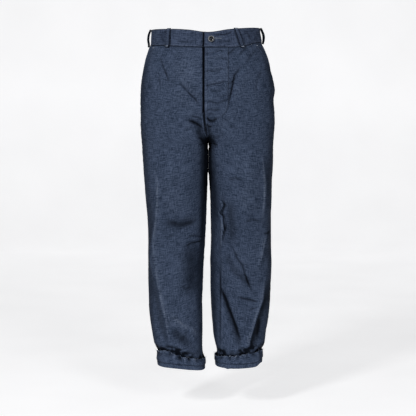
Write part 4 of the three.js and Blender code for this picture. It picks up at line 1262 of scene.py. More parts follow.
def waistband_cloth(settings):
    """The waistband, folded over at its upper edge and stitched all round."""
    levels, count = BAND_GRID
    runs = band_runs(count)
    low, high = band_heights(runs)
    share = (1 - np.cos(np.linspace(0, math.pi, levels))) / 2
    share = mix(np.linspace(0, 1, levels), share, 0.6)
    z = mix(high[None, :], low[None, :], share[:, None])
    run = np.broadcast_to(runs, z.shape)
    point, out = band_place(run, z)
    cloth = Cloth(point, out, BAND_CLOTH)
    x = point[..., 0]
    left = run < 0.5
    on_front = (run < 0.5) | ((run > 1.5) & (x < -14))
    creases = np.zeros_like(z)
    for fold in BAND_CREASES:
        here = left if fold.side == "left" else (run > 1.5)
        creases += fold_lift(fold, x, z) * here
    grooves = bump(cloth.top, EDGE_STITCH, 0.9) + bump(cloth.bottom, EDGE_STITCH, 0.9)
    dents = noise(point, (30, 30, 16), 101) * 0.7 + noise(point, (11, 11, 9), 103) * 0.35
    wrinkles = (1 - 2 * np.abs(noise(point, (8, 8, 22), 107))) * 0.35
    along = np.stack([cloth.start, np.zeros_like(z), np.zeros_like(z)], axis=-1)
    gathered = bump(cloth.top, 6, 5) + bump(cloth.bottom, 6, 5)
    gathers = noise(along, (8, 8, 8), 109) * 0.45 * gathered
    relief = settings.crumple * (dents + wrinkles + gathers)
    relief = relief * smooth(0, 6, np.minimum(cloth.top, cloth.bottom)) - 0.4 * grooves
    relief = relief * smooth(0, 5, np.minimum(cloth.start, cloth.end))
    cloth.lift(relief + creases * settings.crease_depth * on_front)
    edge = np.minimum(np.minimum(cloth.top, cloth.bottom), np.minimum(cloth.start, cloth.end))
    cloth.half *= mix(0.35, 1, np.sqrt(np.clip(edge / 1.6, 0, 1)))
    patches = 0.5 + 0.5 * noise(point, (9, 9, 9), 113)
    # Painted highlights inside both edge stitchings and on crease ridges; painted shade in creases,
    # along both edges, at the overlap's edge and under it.
    pale = 0.25 * bump(cloth.top, 3.6, 1) + 0.3 * bump(cloth.bottom, 3.8, 1)
    pale += 0.15 * np.clip(creases, 0, 2)
    deep = 0.5 * np.clip(-creases, 0, 2) + 0.9 * bump(cloth.bottom, 0, 1.4)
    deep += 0.5 * bump(cloth.top, 0, 1.4) + 1.2 * bump(cloth.start, 0, 1.5)
    deep += 1.6 * smooth(-16.5, -14.5, x) * (run > 1.5)
    cloth.wear_and_painted_light = np.clip(pale * mix(0.4, 1.2, patches) - deep, -1, 1)
    cloth.runs = runs
    return cloth


def belt_loop_cloth(loop, settings):
    """A folded strip that is sewn to the band at both ends and bows out between them."""
    rows, columns = LOOP_GRID
    share = np.linspace(0, 1, rows)
    if loop.from_middle:
        near = [front_around(loop.side, distance, 0) for distance in loop.from_middle]
        place = mix(near[0], near[1], share)
    else:
        place = np.full(rows, loop.around)
    run = place if loop.side == "left" else 2 - place
    low, high = band_heights(run)
    z = mix(high + 1, low - LOOP_REACH, share)
    point, out = band_place(run, z)
    seat = BAND_SOLID / 2 + SEAM_GAP + LOOP_SOLID / 2
    rise = seat + loop.bow * np.sin(math.pi * share) ** (1.0 if loop.from_middle is None else 0.6)
    rise = np.where((share <= 0.02) | (share >= 0.98), seat, rise)
    turn = math.radians(loop.twist) * (1 if loop.side == "left" else -1)
    middle_share = np.sin(math.pi * share) ** 0.5
    heading = np.arctan2(out[:, 0], -out[:, 1]) - turn * middle_share
    across = np.stack([np.cos(heading), np.sin(heading), np.zeros(rows)], axis=-1)
    offset = LOOP_WIDTH * (np.linspace(0, 1, columns) - 0.5)
    middle = point + out * rise[:, None]
    grid = middle[:, None, :] + across[:, None, :] * offset[None, :, None]
    facing = np.broadcast_to(out[:, None, :], grid.shape)
    cloth = Cloth(grid, facing, LOOP_CLOTH)
    edge = np.minimum(cloth.start, cloth.end)
    ridge = 0.35 * bump(edge, 1.2, 1.2) - 0.3 * bump(edge, LOOP_STITCH, 0.8)
    cloth.lift(ridge + noise(grid, (9, 9, 7), 127) * 0.35 * settings.crumple)
    ends = np.minimum(edge, np.minimum(cloth.top, cloth.bottom))
    cloth.half *= mix(0.6, 1, np.sqrt(np.clip(ends / 1.2, 0, 1)))
    # Painted highlight beside the stitching and painted shade along the edges; the side loops, seen
    # edge-on, are painted darker all over.
    cloth.wear_and_painted_light = 0.3 * bump(edge, 3, 1) - 0.9 * bump(edge, 0, 1.3)
    if loop.from_middle is None:
        cloth.wear_and_painted_light -= 0.7
        cloth.half += 0.9
    return cloth


# Meshes


def make_mesh(name, vertices, faces, material, uv=None, wear_and_painted_light=None):
    """An object in metres from vertices in millimetres."""
    mesh = bpy.data.meshes.new(name)
    mesh.from_pydata((np.asarray(vertices) * MM).tolist(), [], np.asarray(faces).tolist())
    if uv is not None:
        corner = np.zeros(len(mesh.loops), int)
        mesh.loops.foreach_get("vertex_index", corner)
        layer = mesh.uv_layers.new(name="cloth")
        layer.data.foreach_set("uv", uv[corner].astype(np.float32).ravel())
    if wear_and_painted_light is not None:
        # The attribute holds wear together with painted shade and painted highlights.
        attribute = mesh.attributes.new("wear_and_painted_light", "FLOAT", "POINT")
        attribute.data.foreach_set("value", wear_and_painted_light.astype(np.float32))
    mesh.polygons.foreach_set("use_smooth", [True] * len(mesh.polygons))
    mesh.materials.append(material)
    mesh.update()
    made = bpy.data.objects.new(name, mesh)
    bpy.context.scene.collection.objects.link(made)
    return made


def grid_faces(rows, columns, closed=False):
    """Four-sided faces between rows of points. The rows are rings where they are closed."""
    index = np.arange(rows * columns).reshape(rows, columns)
    if closed:
        index = np.concatenate([index, index[:, :1]], axis=1)
    corners = (index[:-1, :-1], index[:-1, 1:], index[1:, 1:], index[1:, :-1])
    return np.stack(corners, axis=-1).reshape(-1, 4)


def shell(name, cloth, material, kept=lambda points: points):
    """A closed thin wall on both sides of a cloth's grid."""
    rows, columns = cloth.half.shape
    size = rows * columns
    offset = cloth.normal * cloth.half[..., None]
    outer = kept(cloth.point + offset).reshape(-1, 3)
    inner = kept(cloth.point - offset).reshape(-1, 3)
    index = np.arange(size).reshape(rows, columns)
    corners = (index[:-1, :-1], index[1:, :-1], index[1:, 1:], index[:-1, 1:])
    quads = np.stack(corners, axis=-1).reshape(-1, 4)
    border = np.concatenate([index[0, :-1], index[:-1, -1], index[-1, :0:-1], index[:0:-1, 0]])
    following = np.roll(border, -1)
    rim = np.stack([border, following, following + size, border + size], axis=-1)
    faces = np.concatenate([quads, quads[:, ::-1] + size, rim])
    if cloth.turn < 0:
        faces = faces[:, ::-1]
    grain = cloth.start - cloth.start[:, -1:] / 2
    uv = np.stack([grain, cloth.top], axis=-1).reshape(-1, 2)
    wear_and_painted_light = cloth.wear_and_painted_light.ravel()
    return make_mesh(
        name, np.concatenate([outer, inner]), faces, material,
        np.concatenate([uv, uv]), np.concatenate([wear_and_painted_light, wear_and_painted_light]),
    )


def resample(points, normals, step):
    """Places along a line at even distances, with the directions there."""
    length = np.concatenate([[0], np.cumsum(np.linalg.norm(np.diff(points, axis=0), axis=1))])
    wanted = np.arange(step / 2, length[-1], step)

    def at(distance, field):
        return np.stack([np.interp(distance, length, values) for values in field.T], axis=-1)

    along = at(wanted + 0.5, points) - at(wanted - 0.5, points)
    along /= np.maximum(np.linalg.norm(along, axis=1, keepdims=True), 1e-9)
    return at(wanted, points), at(wanted, normals), along


class Thread:
    """Stitches and loose ends that are gathered into one mesh."""

    def __init__(self):
        self.vertices, self.faces, self.count = [], [], 0

    def add(self, vertices, faces):
        self.vertices.append(vertices)
        self.faces.append(faces + self.count)
        self.count += len(vertices)

    def stitches(self, points, normals, length=STITCH_LENGTH, radius=STITCH_RADIUS, cover=0.8):
        """A row of stitches, each a short bead that is pulled into the cloth at both ends."""
        middle, normal, along = resample(points, normals, length)
        across = np.cross(normal, along)
        across /= np.linalg.norm(across, axis=1, keepdims=True)
        rings = []
        for place, size in ((-0.5, 0.3), (-0.25, 1), (0.25, 1), (0.5, 0.3)):
            centre = middle + along * length * cover * place + normal * radius * (size - 0.7)
            for angle in range(STITCH_SIDES):
                turn = 2 * math.pi * angle / STITCH_SIDES
                side = across * math.cos(turn) + normal * math.sin(turn)
                rings.append(centre + side * radius * size)
        vertices = np.stack(rings, axis=1)
        faces = grid_faces(len(rings) // STITCH_SIDES, STITCH_SIDES, closed=True)
        faces = faces[None] + np.arange(len(middle))[:, None, None] * len(rings)
        self.add(vertices.reshape(-1, 3), faces.reshape(-1, 4))

    def strand(self, points, radius):
        """A loose end of yarn along a line, thinner at its tip."""
        along = np.gradient(points, axis=0)
        along /= np.linalg.norm(along, axis=1, keepdims=True)
        side = np.cross(along, (0.31, 0.42, 0.85))
        side /= np.linalg.norm(side, axis=1, keepdims=True)
        other = np.cross(along, side)
        size = radius * np.linspace(1, 0.45, len(points))[:, None]
        rings = [
            points + (side * math.cos(turn) + other * math.sin(turn)) * size
            for turn in (0, 2 * math.pi / 3, 4 * math.pi / 3)
        ]
        vertices = np.stack(rings, axis=1).reshape(-1, 3)
        self.add(vertices, grid_faces(len(points), len(rings), closed=True))

    def make(self, name, material):
        return make_mesh(name, np.concatenate(self.vertices), np.concatenate(self.faces), material)


def lathe(outline, centre, axis, segments):
    """Points of a turned form: outline rows are distance from the axis and height along it."""
    axis = np.asarray(axis, float)
    side = np.cross(axis, (0, 0, 1))
    side /= np.linalg.norm(side)
    other = np.cross(side, axis)
    angle = np.linspace(0, 2 * math.pi, segments, endpoint=False)
    ring = np.cos(angle)[:, None] * side + np.sin(angle)[:, None] * other
    return np.stack([np.asarray(centre) + axis * up + ring * reach for reach, up in outline])


# Materials


def colour(text):
    """A colour written as sRGB, as the linear values that a shader takes."""
    channels = [int(text[place:place + 2], 16) / 255 for place in (1, 3, 5)]
    linear = [c / 12.92 if c <= 0.04045 else ((c + 0.055) / 1.055) ** 2.4 for c in channels]
    return (*linear, 1)


def node(tree, kind, inputs=None, **settings):
    """Adds a node. Inputs are values, or output sockets to link from."""
    made = tree.nodes.new(kind)
    for name, value in settings.items():
        setattr(made, name, value)
    for name, value in (inputs or {}).items():
        if isinstance(value, bpy.types.NodeSocket):
            tree.links.new(value, made.inputs[name])
        else:
            made.inputs[name].default_value = value
    return made


def material(name, **surface):
    """A material whose surface shader has these uniform values."""
    made = bpy.data.materials.new(name)
    made.use_nodes = True
    tree = made.node_tree
    shader = tree.nodes["Principled BSDF"]
    for socket, value in surface.items():
        shader.inputs[socket.replace("_", " ")].default_value = value
    return made, tree, shader


def blended(tree, factor, first, second):
    """One colour that turns into another as the factor rises."""
    inputs = {"Factor": factor, "A": first, "B": second}
    return node(tree, "ShaderNodeMix", inputs, data_type="RGBA").outputs["Result"]


def streaks(tree, place, yarn):
    """Noise that is stretched along the yarn, with the yarn's weight."""
    wide, long, weight = YARNS[yarn]
    sized = node(tree, "ShaderNodeMapping", {"Vector": place, "Scale": (1 / wide, 1 / long, 1)})
    value = node(
        tree, "ShaderNodeTexNoise",
        {"Vector": sized.outputs["Vector"], "Scale": 1.0, "Detail": 2.0, "Roughness": 0.6},
    ).outputs["Fac"]
    return arithmetic(tree, "MULTIPLY", value, weight)


def arithmetic(tree, operation, first, second, third=None):
    """The result of a sum or other operation on values or sockets."""
    made = node(tree, "ShaderNodeMath", {0: first, 1: second}, operation=operation)
    if third is not None:
        made.inputs[2].default_value = third
    return made.outputs[0]


# The yarns of the linen: their size across and down the cloth in millimetres, and how much they
# show.
YARNS = {
    "across": (22, 1.9, 1.1),
    "down": (1.9, 19, 0.9),
    "mottled": (3.4, 3.4, 0.5),
    "broad": (60, 95, 0.3),
}
WEAVE = 1.3


def linen_material(name, painted_shade, dark, light, faded_and_highlight, contrast):
    """Washed indigo linen and cotton. The eye sees thick and thin yarns as short dark and pale
    dashes, more across than down, a dry matt surface, paler blue where edges rub and painted
    highlights, and painted shade, nearly black blue, in creases and beside seams."""
    made, tree, shader = material(name, Roughness=0.95, Specular_IOR_Level=0.06)
    place = node(tree, "ShaderNodeUVMap", uv_map="cloth").outputs["UV"]
    both = arithmetic(tree, "ADD", streaks(tree, place, "across"), streaks(tree, place, "down"))
    grained = arithmetic(tree, "ADD", both, streaks(tree, place, "mottled"))
    summed = arithmetic(tree, "ADD", grained, streaks(tree, place, "broad"))
    centred = arithmetic(tree, "SUBTRACT", summed, sum(yarn[2] for yarn in YARNS.values()) / 2)
    tone = arithmetic(tree, "MULTIPLY_ADD", centred, contrast, 0.5)
    ramp = node(tree, "ShaderNodeValToRGB", {"Fac": tone})
    for stop, position, shade in zip(ramp.color_ramp.elements, (0.02, 0.98), (dark, light)):
        stop.position = position
        stop.color = colour(shade)
    # Above 0 the cloth turns to the pale colour, for wear and painted highlights; below 0 to the
    # near-black one, for painted shade.
    worn_and_painted_light = node(tree, "ShaderNodeAttribute", attribute_name="wear_and_painted_light").outputs["Fac"]
    lightened = arithmetic(tree, "MULTIPLY", arithmetic(tree, "MAXIMUM", worn_and_painted_light, 0.0), tone)
    kept = arithmetic(tree, "MAXIMUM", arithmetic(tree, "MULTIPLY", worn_and_painted_light, -1.0), 0.0)
    rubbed_and_highlit = blended(tree, lightened, ramp.outputs["Color"], colour(faded_and_highlight))
    painted = blended(tree, kept, rubbed_and_highlit, colour(painted_shade))
    tree.links.new(painted, shader.inputs["Base Color"])
    # The real weave has about 20 yarns a centimetre, finer than the view shows, so it is drawn
    # coarser.
    weave = node(
        tree, "ShaderNodeTexWave",
        {
            "Vector": place, "Scale": 1 / WEAVE / 3.2, "Distortion": 1.6, "Detail": 2.0,
            "Detail Scale": 0.6,
        },
        wave_type="BANDS", bands_direction="DIAGONAL",
    ).outputs["Fac"]
    relief = arithmetic(tree, "ADD", arithmetic(tree, "MULTIPLY", weave, 0.22), both)
    raised = node(tree, "ShaderNodeBump", {"Height": relief, "Strength": 0.35, "Distance": 0.0009})
    tree.links.new(raised.outputs["Normal"], shader.inputs["Normal"])
    return made


def thread_material(name, dark, light):
    """Spun polyester sewing thread. The eye sees a slight gloss and a tone that changes from
    stitch to stitch."""
    made, tree, shader = material(name, Roughness=0.55, Specular_IOR_Level=0.35, Sheen_Weight=0.1)
    place = node(tree, "ShaderNodeTexCoord").outputs["Object"]
    spots = node(tree, "ShaderNodeTexNoise", {"Vector": place, "Scale": 420.0, "Detail": 2.0})
    painted = blended(tree, spots.outputs["Fac"], colour(dark), colour(light))
    tree.links.new(painted, shader.inputs["Base Color"])
    twist = node(tree, "ShaderNodeTexWave", {"Vector": place, "Scale": 900.0, "Distortion": 1.0})
    raised = node(
        tree, "ShaderNodeBump",
        {"Height": twist.outputs["Fac"], "Strength": 0.4, "Distance": 0.0002},
    )
    tree.links.new(raised.outputs["Normal"], shader.inputs["Normal"])
    return made


def resin_material(name, dark, light, worn_and_painted_light):
    """Polished dark horn-look resin. The eye sees a dark and cloudy middle inside a rim painted
    paler: a painted highlight of the glossy rim, with rubbed wear."""
    made, tree, shader = material(
        name, Roughness=0.18, Specular_IOR_Level=0.7, Coat_Weight=0.6, Coat_Roughness=0.08
    )
    place = node(tree, "ShaderNodeTexCoord").outputs["Object"]
    clouds = node(
        tree, "ShaderNodeTexNoise",
        {"Vector": place, "Scale": 190.0, "Detail": 4.0, "Distortion": 1.2},
    )
    painted = blended(tree, clouds.outputs["Fac"], colour(dark), colour(light))
    # Paler at the rim: a painted highlight, with rubbed wear.
    rubbed_and_highlit = node(tree, "ShaderNodeAttribute", attribute_name="wear_and_painted_light").outputs["Fac"]
    tree.links.new(blended(tree, rubbed_and_highlit, painted, colour(worn_and_painted_light)), shader.inputs["Base Color"])
    scuffs = node(tree, "ShaderNodeTexNoise", {"Vector": place, "Scale": 700.0, "Detail": 3.0})
    dull = node(
        tree, "ShaderNodeMapRange",
        {"Value": scuffs.outputs["Fac"], "To Min": 0.12, "To Max": 0.34},
    )
    tree.links.new(dull.outputs["Result"], shader.inputs["Roughness"])
    return made


def paper_material(name, tone, glow):
    """Seamless white studio paper. The eye sees an even pale ground with hardly a shade in it, so
    most of its brightness is its own, and less so beyond the sides of the picture."""
    made, tree, shader = material(
        name, Base_Color=colour("#b4b4b5"), Roughness=0.95, Specular_IOR_Level=0.1
    )
    place = node(tree, "ShaderNodeTexCoord").outputs["Object"]
    across = node(tree, "ShaderNodeSeparateXYZ", {"Vector": place}).outputs["X"]
    reach = arithmetic(tree, "ABSOLUTE", across, 0)
    glowing = node(
        tree, "ShaderNodeMapRange",
        {"Value": reach, "From Min": 1.45, "From Max": 1.8, "To Min": glow, "To Max": glow * 0.4},
        interpolation_type="SMOOTHSTEP",
    )
    tree.links.new(glowing.outputs["Result"], shader.inputs["Emission Strength"])
    grain = node(tree, "ShaderNodeTexNoise", {"Vector": place, "Scale": 3.0, "Detail": 2.0})
    painted = blended(tree, grain.outputs["Fac"], colour(tone), colour("#f8f8f9"))
    tree.links.new(painted, shader.inputs["Emission Color"])
    return made


# How each material is made: its function and what that takes after the name.
RECIPES = {
    # For the linens: painted shade, the dark and light yarn, the pale colour of wear and painted
    # highlights, and the contrast.
    "indigo_linen": (linen_material, "#0d121b", "#242f41", "#525f78", "#8490a6", 2.0),
    "indigo_linen_band": (linen_material, "#0d121b", "#242e40", "#515d76", "#828da3", 2.1),
    "navy_thread": (thread_material, "#1e2739", "#46536d"),
    "pale_thread": (thread_material, "#8a93a5", "#c3c9d4"),
    "linen_ends": (thread_material, "#6d7d98", "#b7c1d1"),
    # The resin's last colour is its rim's painted highlight, with rubbed wear.
    "horn_resin": (resin_material, "#0b0c0e", "#232426", "#85878a"),
    "studio_paper": (paper_material, "#ededee", 0.79),
}
MATERIALS = {}


def shared(name):
    """Each material is made once and shared by its pieces."""
    if name not in MATERIALS:
        make, *values = RECIPES[name]
        MATERIALS[name] = make(name, *values)
    return MATERIALS[name]


# Pieces

PANELS = ("front_right", "front_left", "back_right", "back_left")
PIECES = {}

# The cut of what shows of each piece in metres: width, length and area.
CUTS = {
    "front": (0.30, 1.02, 0.25),
    "back": (0.30, 1.02, 0.23),
    "pocket_facing": (0.10, 0.16, 0.008),
    "fly_button_stand": (0.043, 0.168, 0.0071),
    "waistband": (0.90, 0.046, 0.039),
    "belt_loop": (0.011, 0.06, 0.00062),
}


def attach(made, slot):
    """Lets a finished piece ride on the body."""
    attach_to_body(made, "root")


def lay_cloth(name, cloth, cut, rests_on=("waistband",), **kept):
    """Makes one sheet of cloth and seats it on the body in place of its solid."""
    PIECES[name] = cloth
    banded = cut in ("waistband", "belt_loop")
    look, slot = ("indigo_linen_band", "band_cloth") if banded else ("indigo_linen", "cloth")
    made = shell(name + "_cloth", cloth, shared(look), **kept)
    attach(made, slot)
    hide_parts(name)
    width, length, area = CUTS[cut]


def build_panels(settings):
    """Fronts and backs."""
    for name in PANELS:
        cloth = panel_cloth(name, settings)
        lay_cloth(
            name, cloth, name.split("_")[0],
            kept=lambda points, c=cloth: keep_on_side(c.side, c.front, points),
        )


def build_pockets(settings):
    """Pocket facings."""
    for side in SIGN:
        lay_cloth("pocket_facing_" + side, pocket_cloth(side, settings), "pocket_facing")


def build_fly(settings):
    """The strip behind the fly."""
    lay_cloth("fly_button_stand", fly_stand_cloth(settings), "fly_button_stand")


def build_waistband(settings):
    """The waistband."""
    lay_cloth("waistband", waistband_cloth(settings), "waistband", rests_on=())


def build_belt_loops(settings):
    """Belt loops."""
    for name, loop in LOOPS.items():
        lay_cloth(name, belt_loop_cloth(loop, settings), "belt_loop")


def build_button():
    """The waist button, dished, with four holes and its thread."""
    run = np.array([front_around("left", BUTTON["x"], BUTTON["z"])])
    point, out = band_place(run, np.array([float(BUTTON["z"])]))
    axis = out[0]
    foot = point[0] + axis * (BAND_SOLID / 2 + SEAM_GAP)
    radius, rise, segments = BUTTON["radius"], BUTTON["rise"], BUTTON["segments"]
    dish = rise + BUTTON_DISH["height"]
    outline = [
        (0.02, 0), (BUTTON["shank"], 0), (BUTTON["shank"], rise), (radius - 1.6, rise),
        (radius - 0.5, rise + 0.3), (radius, rise + 1), (radius, rise + 1.9),
        (radius - 0.3, rise + 2.6), (radius - 1, rise + 3), (radius - 1.8, rise + 3),
        (radius - 2.4, rise + 2.7), (radius - 3, rise + 2),
    ]
    rounded = len(outline) - 1
    inwards = np.linspace(BUTTON_DISH["reach"], 0.02, BUTTON_DISH["rings"])
    outline += [(reach, dish) for reach in inwards]
    grid = lathe(outline, foot, axis, segments)
    side = np.cross(axis, (0, 0, 1))
    side /= np.linalg.norm(side)
    other = np.cross(side, axis)
    apart = BUTTON_HOLES["from_middle"]
    holes = [side * a * apart + other * b * apart for a in (-1, 1) for b in (-1, 1)]
    face = grid[rounded:]
    flat = face - foot
    flat = flat - (flat @ axis)[..., None] * axis
    for hole in holes:
        away = np.linalg.norm(flat - hole, axis=-1)
        sunk = BUTTON_HOLES["depth"] * smooth(*BUTTON_HOLES["edge"], away)
        face -= axis * sunk[..., None]
    reach = np.array([row[0] for row in outline])
    # The rim is painted paler: a painted highlight of the glossy edge, with rubbed wear.
    rim = bump(reach, radius - 0.6, 1.5) * (np.arange(len(outline)) > 3)
    made = make_mesh(
        "waist_button_resin", grid.reshape(-1, 3), grid_faces(len(outline), segments, closed=True),
        shared("horn_resin"), wear_and_painted_light=np.repeat(rim, segments),
    )
    attach(made, "button")
    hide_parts("waist_button")

    thread = Thread()
    top = foot + axis * dish
    for first, second in ((0, 3), (1, 2)):
        for shift in (-0.25, 0.25):
            ends = np.stack([holes[first], holes[second]]) + side * shift
            line = mix(ends[0], ends[1], np.linspace(0, 1, 9)[:, None])
            arch = 0.5 * np.sin(np.linspace(0, math.pi, 9)) - 0.1
            thread.strand(top + line + axis * arch[:, None], 0.32)
    attach(thread.make("waist_button_thread", shared("navy_thread")), "button")


def line_down(cloth, field, value, low, high):
    """Stitch places at a distance from an edge, between two stations of a panel."""
    rows = np.flatnonzero((cloth.station[:, 0] >= low) & (cloth.station[:, 0] <= high))
    return cloth.place(*cloth.along_column(field, value, rows))


def sew_panels(thread):
    """Topstitching of the seams, pocket mouths, fly and hems."""
    for name in PANELS:
        cloth = PIECES[name]
        if cloth.front or cloth.side == "right":
            first = 1.06 if cloth.front else 0.02
            for distance in FELL_STITCHES:
                thread.stitches(*line_down(cloth, cloth.start, distance, first, 1.9))
                thread.stitches(*line_down(cloth, cloth.start, distance, 2.06, 2.985))
        if cloth.front:
            top = band_edge(cloth.side, np.array(0.4), "low")
            last = (top - POCKET_END) / (top - FORK_TOP)
            for distance in MOUTH_STITCHES:
                thread.stitches(*line_down(cloth, cloth.end, distance, 0.015, last))
        columns = np.arange(1, cloth.half.shape[1] - 1)
        turned = cloth.station[:, 0] > 3 + HEM_FOLD_SHARE
        first_row = int(np.flatnonzero(turned)[0])
        height = cloth.point[..., 2] - cuff(cloth.side, cloth.around, "low")
        below = np.arange(first_row, len(turned))
        rows = [np.interp(HEM_STITCH, height[first_row:, column], below) for column in columns]
        points, normals = cloth.place(np.array(rows), columns.astype(float))
        thread.stitches(points - normals * CLOTH, -normals)
    left = PIECES["front_left"]
    points, normals = left.place(*left.find(*j_stitch_path()))
    thread.stitches(points, normals)


def sew_band(thread):
    """Stitching along both edges of the waistband and down the belt loops."""
    band = PIECES["waistband"]
    columns = np.arange(3, band.half.shape[1] - 3)
    for field, distance in ((band.top, EDGE_STITCH), (-band.bottom, -EDGE_STITCH)):
        thread.stitches(*band.place(*band.along_row(field, distance, columns)))
    rows = np.arange(3, band.half.shape[0] - 3)
    thread.stitches(*band.place(*band.along_column(band.start, EDGE_STITCH, rows)))
    for name in LOOPS:
        loop = PIECES[name]
        rows = np.arange(1, loop.half.shape[0] - 1)
        for distance in (LOOP_STITCH, LOOP_WIDTH - LOOP_STITCH):
            line = loop.place(*loop.along_column(loop.start, distance, rows))
            thread.stitches(*line, length=2.6)


def bar_tack(thread, point, normal, along, length, wide=1.5):
    """A dense bar of short stitches across the ends of a line."""
    across = np.cross(normal, along)
    count = int(length / TACK_STEP)
    for place in np.linspace(-0.5, 0.5, count):
        middle = point + along * length * place
        ends = np.stack([middle - across * wide / 2, middle + across * wide / 2])
        thread.stitches(ends, np.stack([normal, normal]), length=wide, radius=0.36, cover=1)


def sew_tacks(thread):
    """Pale bars at the belt loops and at both ends of the pocket mouths."""
    for name in LOOPS:
        loop = PIECES[name]
        rows, columns = loop.half.shape
        for row in (2, rows - 4):
            point, normal = loop.place(np.array([float(row)]), np.array([(columns - 1) / 2]))
            across = loop.point[row, -1] - loop.point[row, 0]
            across /= np.linalg.norm(across)
            bar_tack(thread, point[0], normal[0], across, LOOP_WIDTH - 2.5)
    for side in SIGN:
        cloth = PIECES["front_" + side]
        top = band_edge(side, np.array(0.4), "low")
        for drop in (7, top - POCKET_END - 2):
            row = int(np.argmin(np.abs(cloth.top[:, -1] - drop)))
            field = np.interp(3.8, cloth.end[row][::-1], np.arange(cloth.end.shape[1])[::-1])
            point, normal = cloth.place(np.array([float(row)]), np.array([field]))
            across = cloth.point[row, -1] - cloth.point[row, -12]
            across /= np.linalg.norm(across)
            bar_tack(thread, point[0], normal[0], across, 6)


def sew_buttonhole(thread):
    """The bound slit that the button passes through, which is pulled long beside the button."""
    band = PIECES["waistband"]
    angle = np.linspace(0, 2 * math.pi, 120)
    x = BUTTONHOLE["x"] + BUTTONHOLE["half"] * power(np.cos(angle), 5)
    z = BUTTONHOLE["z"] + BUTTONHOLE["bar"] * np.sin(angle)
    front_columns = int(np.searchsorted(band.runs, 0.4))
    points, normals = band.place(*band.find(x, z, front_columns))
    thread.stitches(points, normals, length=1.0, radius=0.55, cover=1)


def build_sewing():
    """Topstitching in a matching thread, and bars in a paler one."""
    missing = [name for name in PANELS + ("waistband",) if name not in PIECES]
    if missing:
        raise RuntimeError("the sewing needs these pieces first: " + ", ".join(missing))
    seams, tacks, hole = Thread(), Thread(), Thread()
    sew_panels(seams)
    sew_band(seams)
    sew_tacks(tacks)
    sew_buttonhole(hole)
    attach(seams.make("topstitching", shared("navy_thread")), "cloth")
    attach(tacks.make("bar_tacks", shared("pale_thread")), "cloth")
    attach(hole.make("waist_buttonhole", shared("linen_ends")), "band_cloth")


def build_frayed_hems(settings):
    """Loose yarn ends along the cut edges of the turned-up hems."""
    random = np.random.default_rng(2024)
    thread = Thread()
    for name in PANELS:
        cloth = PIECES[name]
        last = cloth.half.shape[0] - 1
        columns = np.sort(random.uniform(2, cloth.half.shape[1] - 3, settings.loose_ends))
        points, normals = cloth.place(np.full(len(columns), last - 0.01), columns)
        points = points - normals * CLOTH * 0.5
        up, _ = cloth.place(np.full(len(columns), last - 2.0), columns)
        rise = points - up
        rise /= np.linalg.norm(rise, axis=1, keepdims=True)
        for point, normal, way in zip(points, normals, rise):
            length = random.uniform(2, 7)
            share = np.linspace(0, 1, 6)[:, None]
            lean = np.cross(normal, way) * random.uniform(-0.9, 0.9)
            droop = -normal * random.uniform(0.1, 0.8) + (0, 0, -random.uniform(0.1, 0.8))
            line = point + (way * share + lean * share**2 + droop * share**2.2) * length
            thread.strand(line, random.uniform(0.16, 0.3))
    cloth = PIECES["front_left"]
    last, across = cloth.half.shape
    edge, normals = cloth.place(np.full(across - 1, last - 1.01), np.arange(across - 1.0))
    for x in TUFTS:
        nearest = np.abs(edge[:, 0] - x).argmin()
        tuft = np.array([(-1.6, -0.4, -0.4), (-0.4, -1.2, 1), (0.8, -1.2, 1), (1.6, -0.6, -0.2)])
        thread.strand(edge[nearest] - normals[nearest] * CLOTH + tuft, 1)
    attach(thread.make("frayed_hem_ends", shared("linen_ends")), "cloth")


# Stage

# Metres, and degrees for the camera.
CAMERA = {"place": (0, -4.0, -0.177), "tilt": 4.27, "angle": 16.57}
FLOOR = -1.036
LIT_PLACE = (0, 0, -0.42)

# Where each light stands, its size in metres and its share of the key light's power.
LIGHTS = {
    "key": ((-2.0, -3.7, 2.0), (0.6, 0.9), 1),
    "fill": ((1.9, -4.2, 1.0), (0.9, 1.3), 0.55),
}
SKY = {"tone": "#eef1f5", "strength": 0.05}

# The sweep of paper in millimetres: half its width, where it starts, where it bends up behind
# every view, the radius of that bend and its height.
PAPER = {"half": 5000, "start": -330, "bend_at": 4100, "bend": 900, "height": 6500}


def area_light(name, place, size, energy):
    """A soft light that faces the garment's middle."""
    data = bpy.data.lights.new(name, "AREA")
    data.shape = "RECTANGLE"
    data.size, data.size_y = size
    data.energy = energy
    made = bpy.data.objects.new(name, data)
    made.location = place
    aim = Vector(LIT_PLACE) - Vector(place)
    made.rotation_mode = "QUATERNION"
    made.rotation_quaternion = aim.to_track_quat("-Z", "Y")
    bpy.context.scene.collection.objects.link(made)


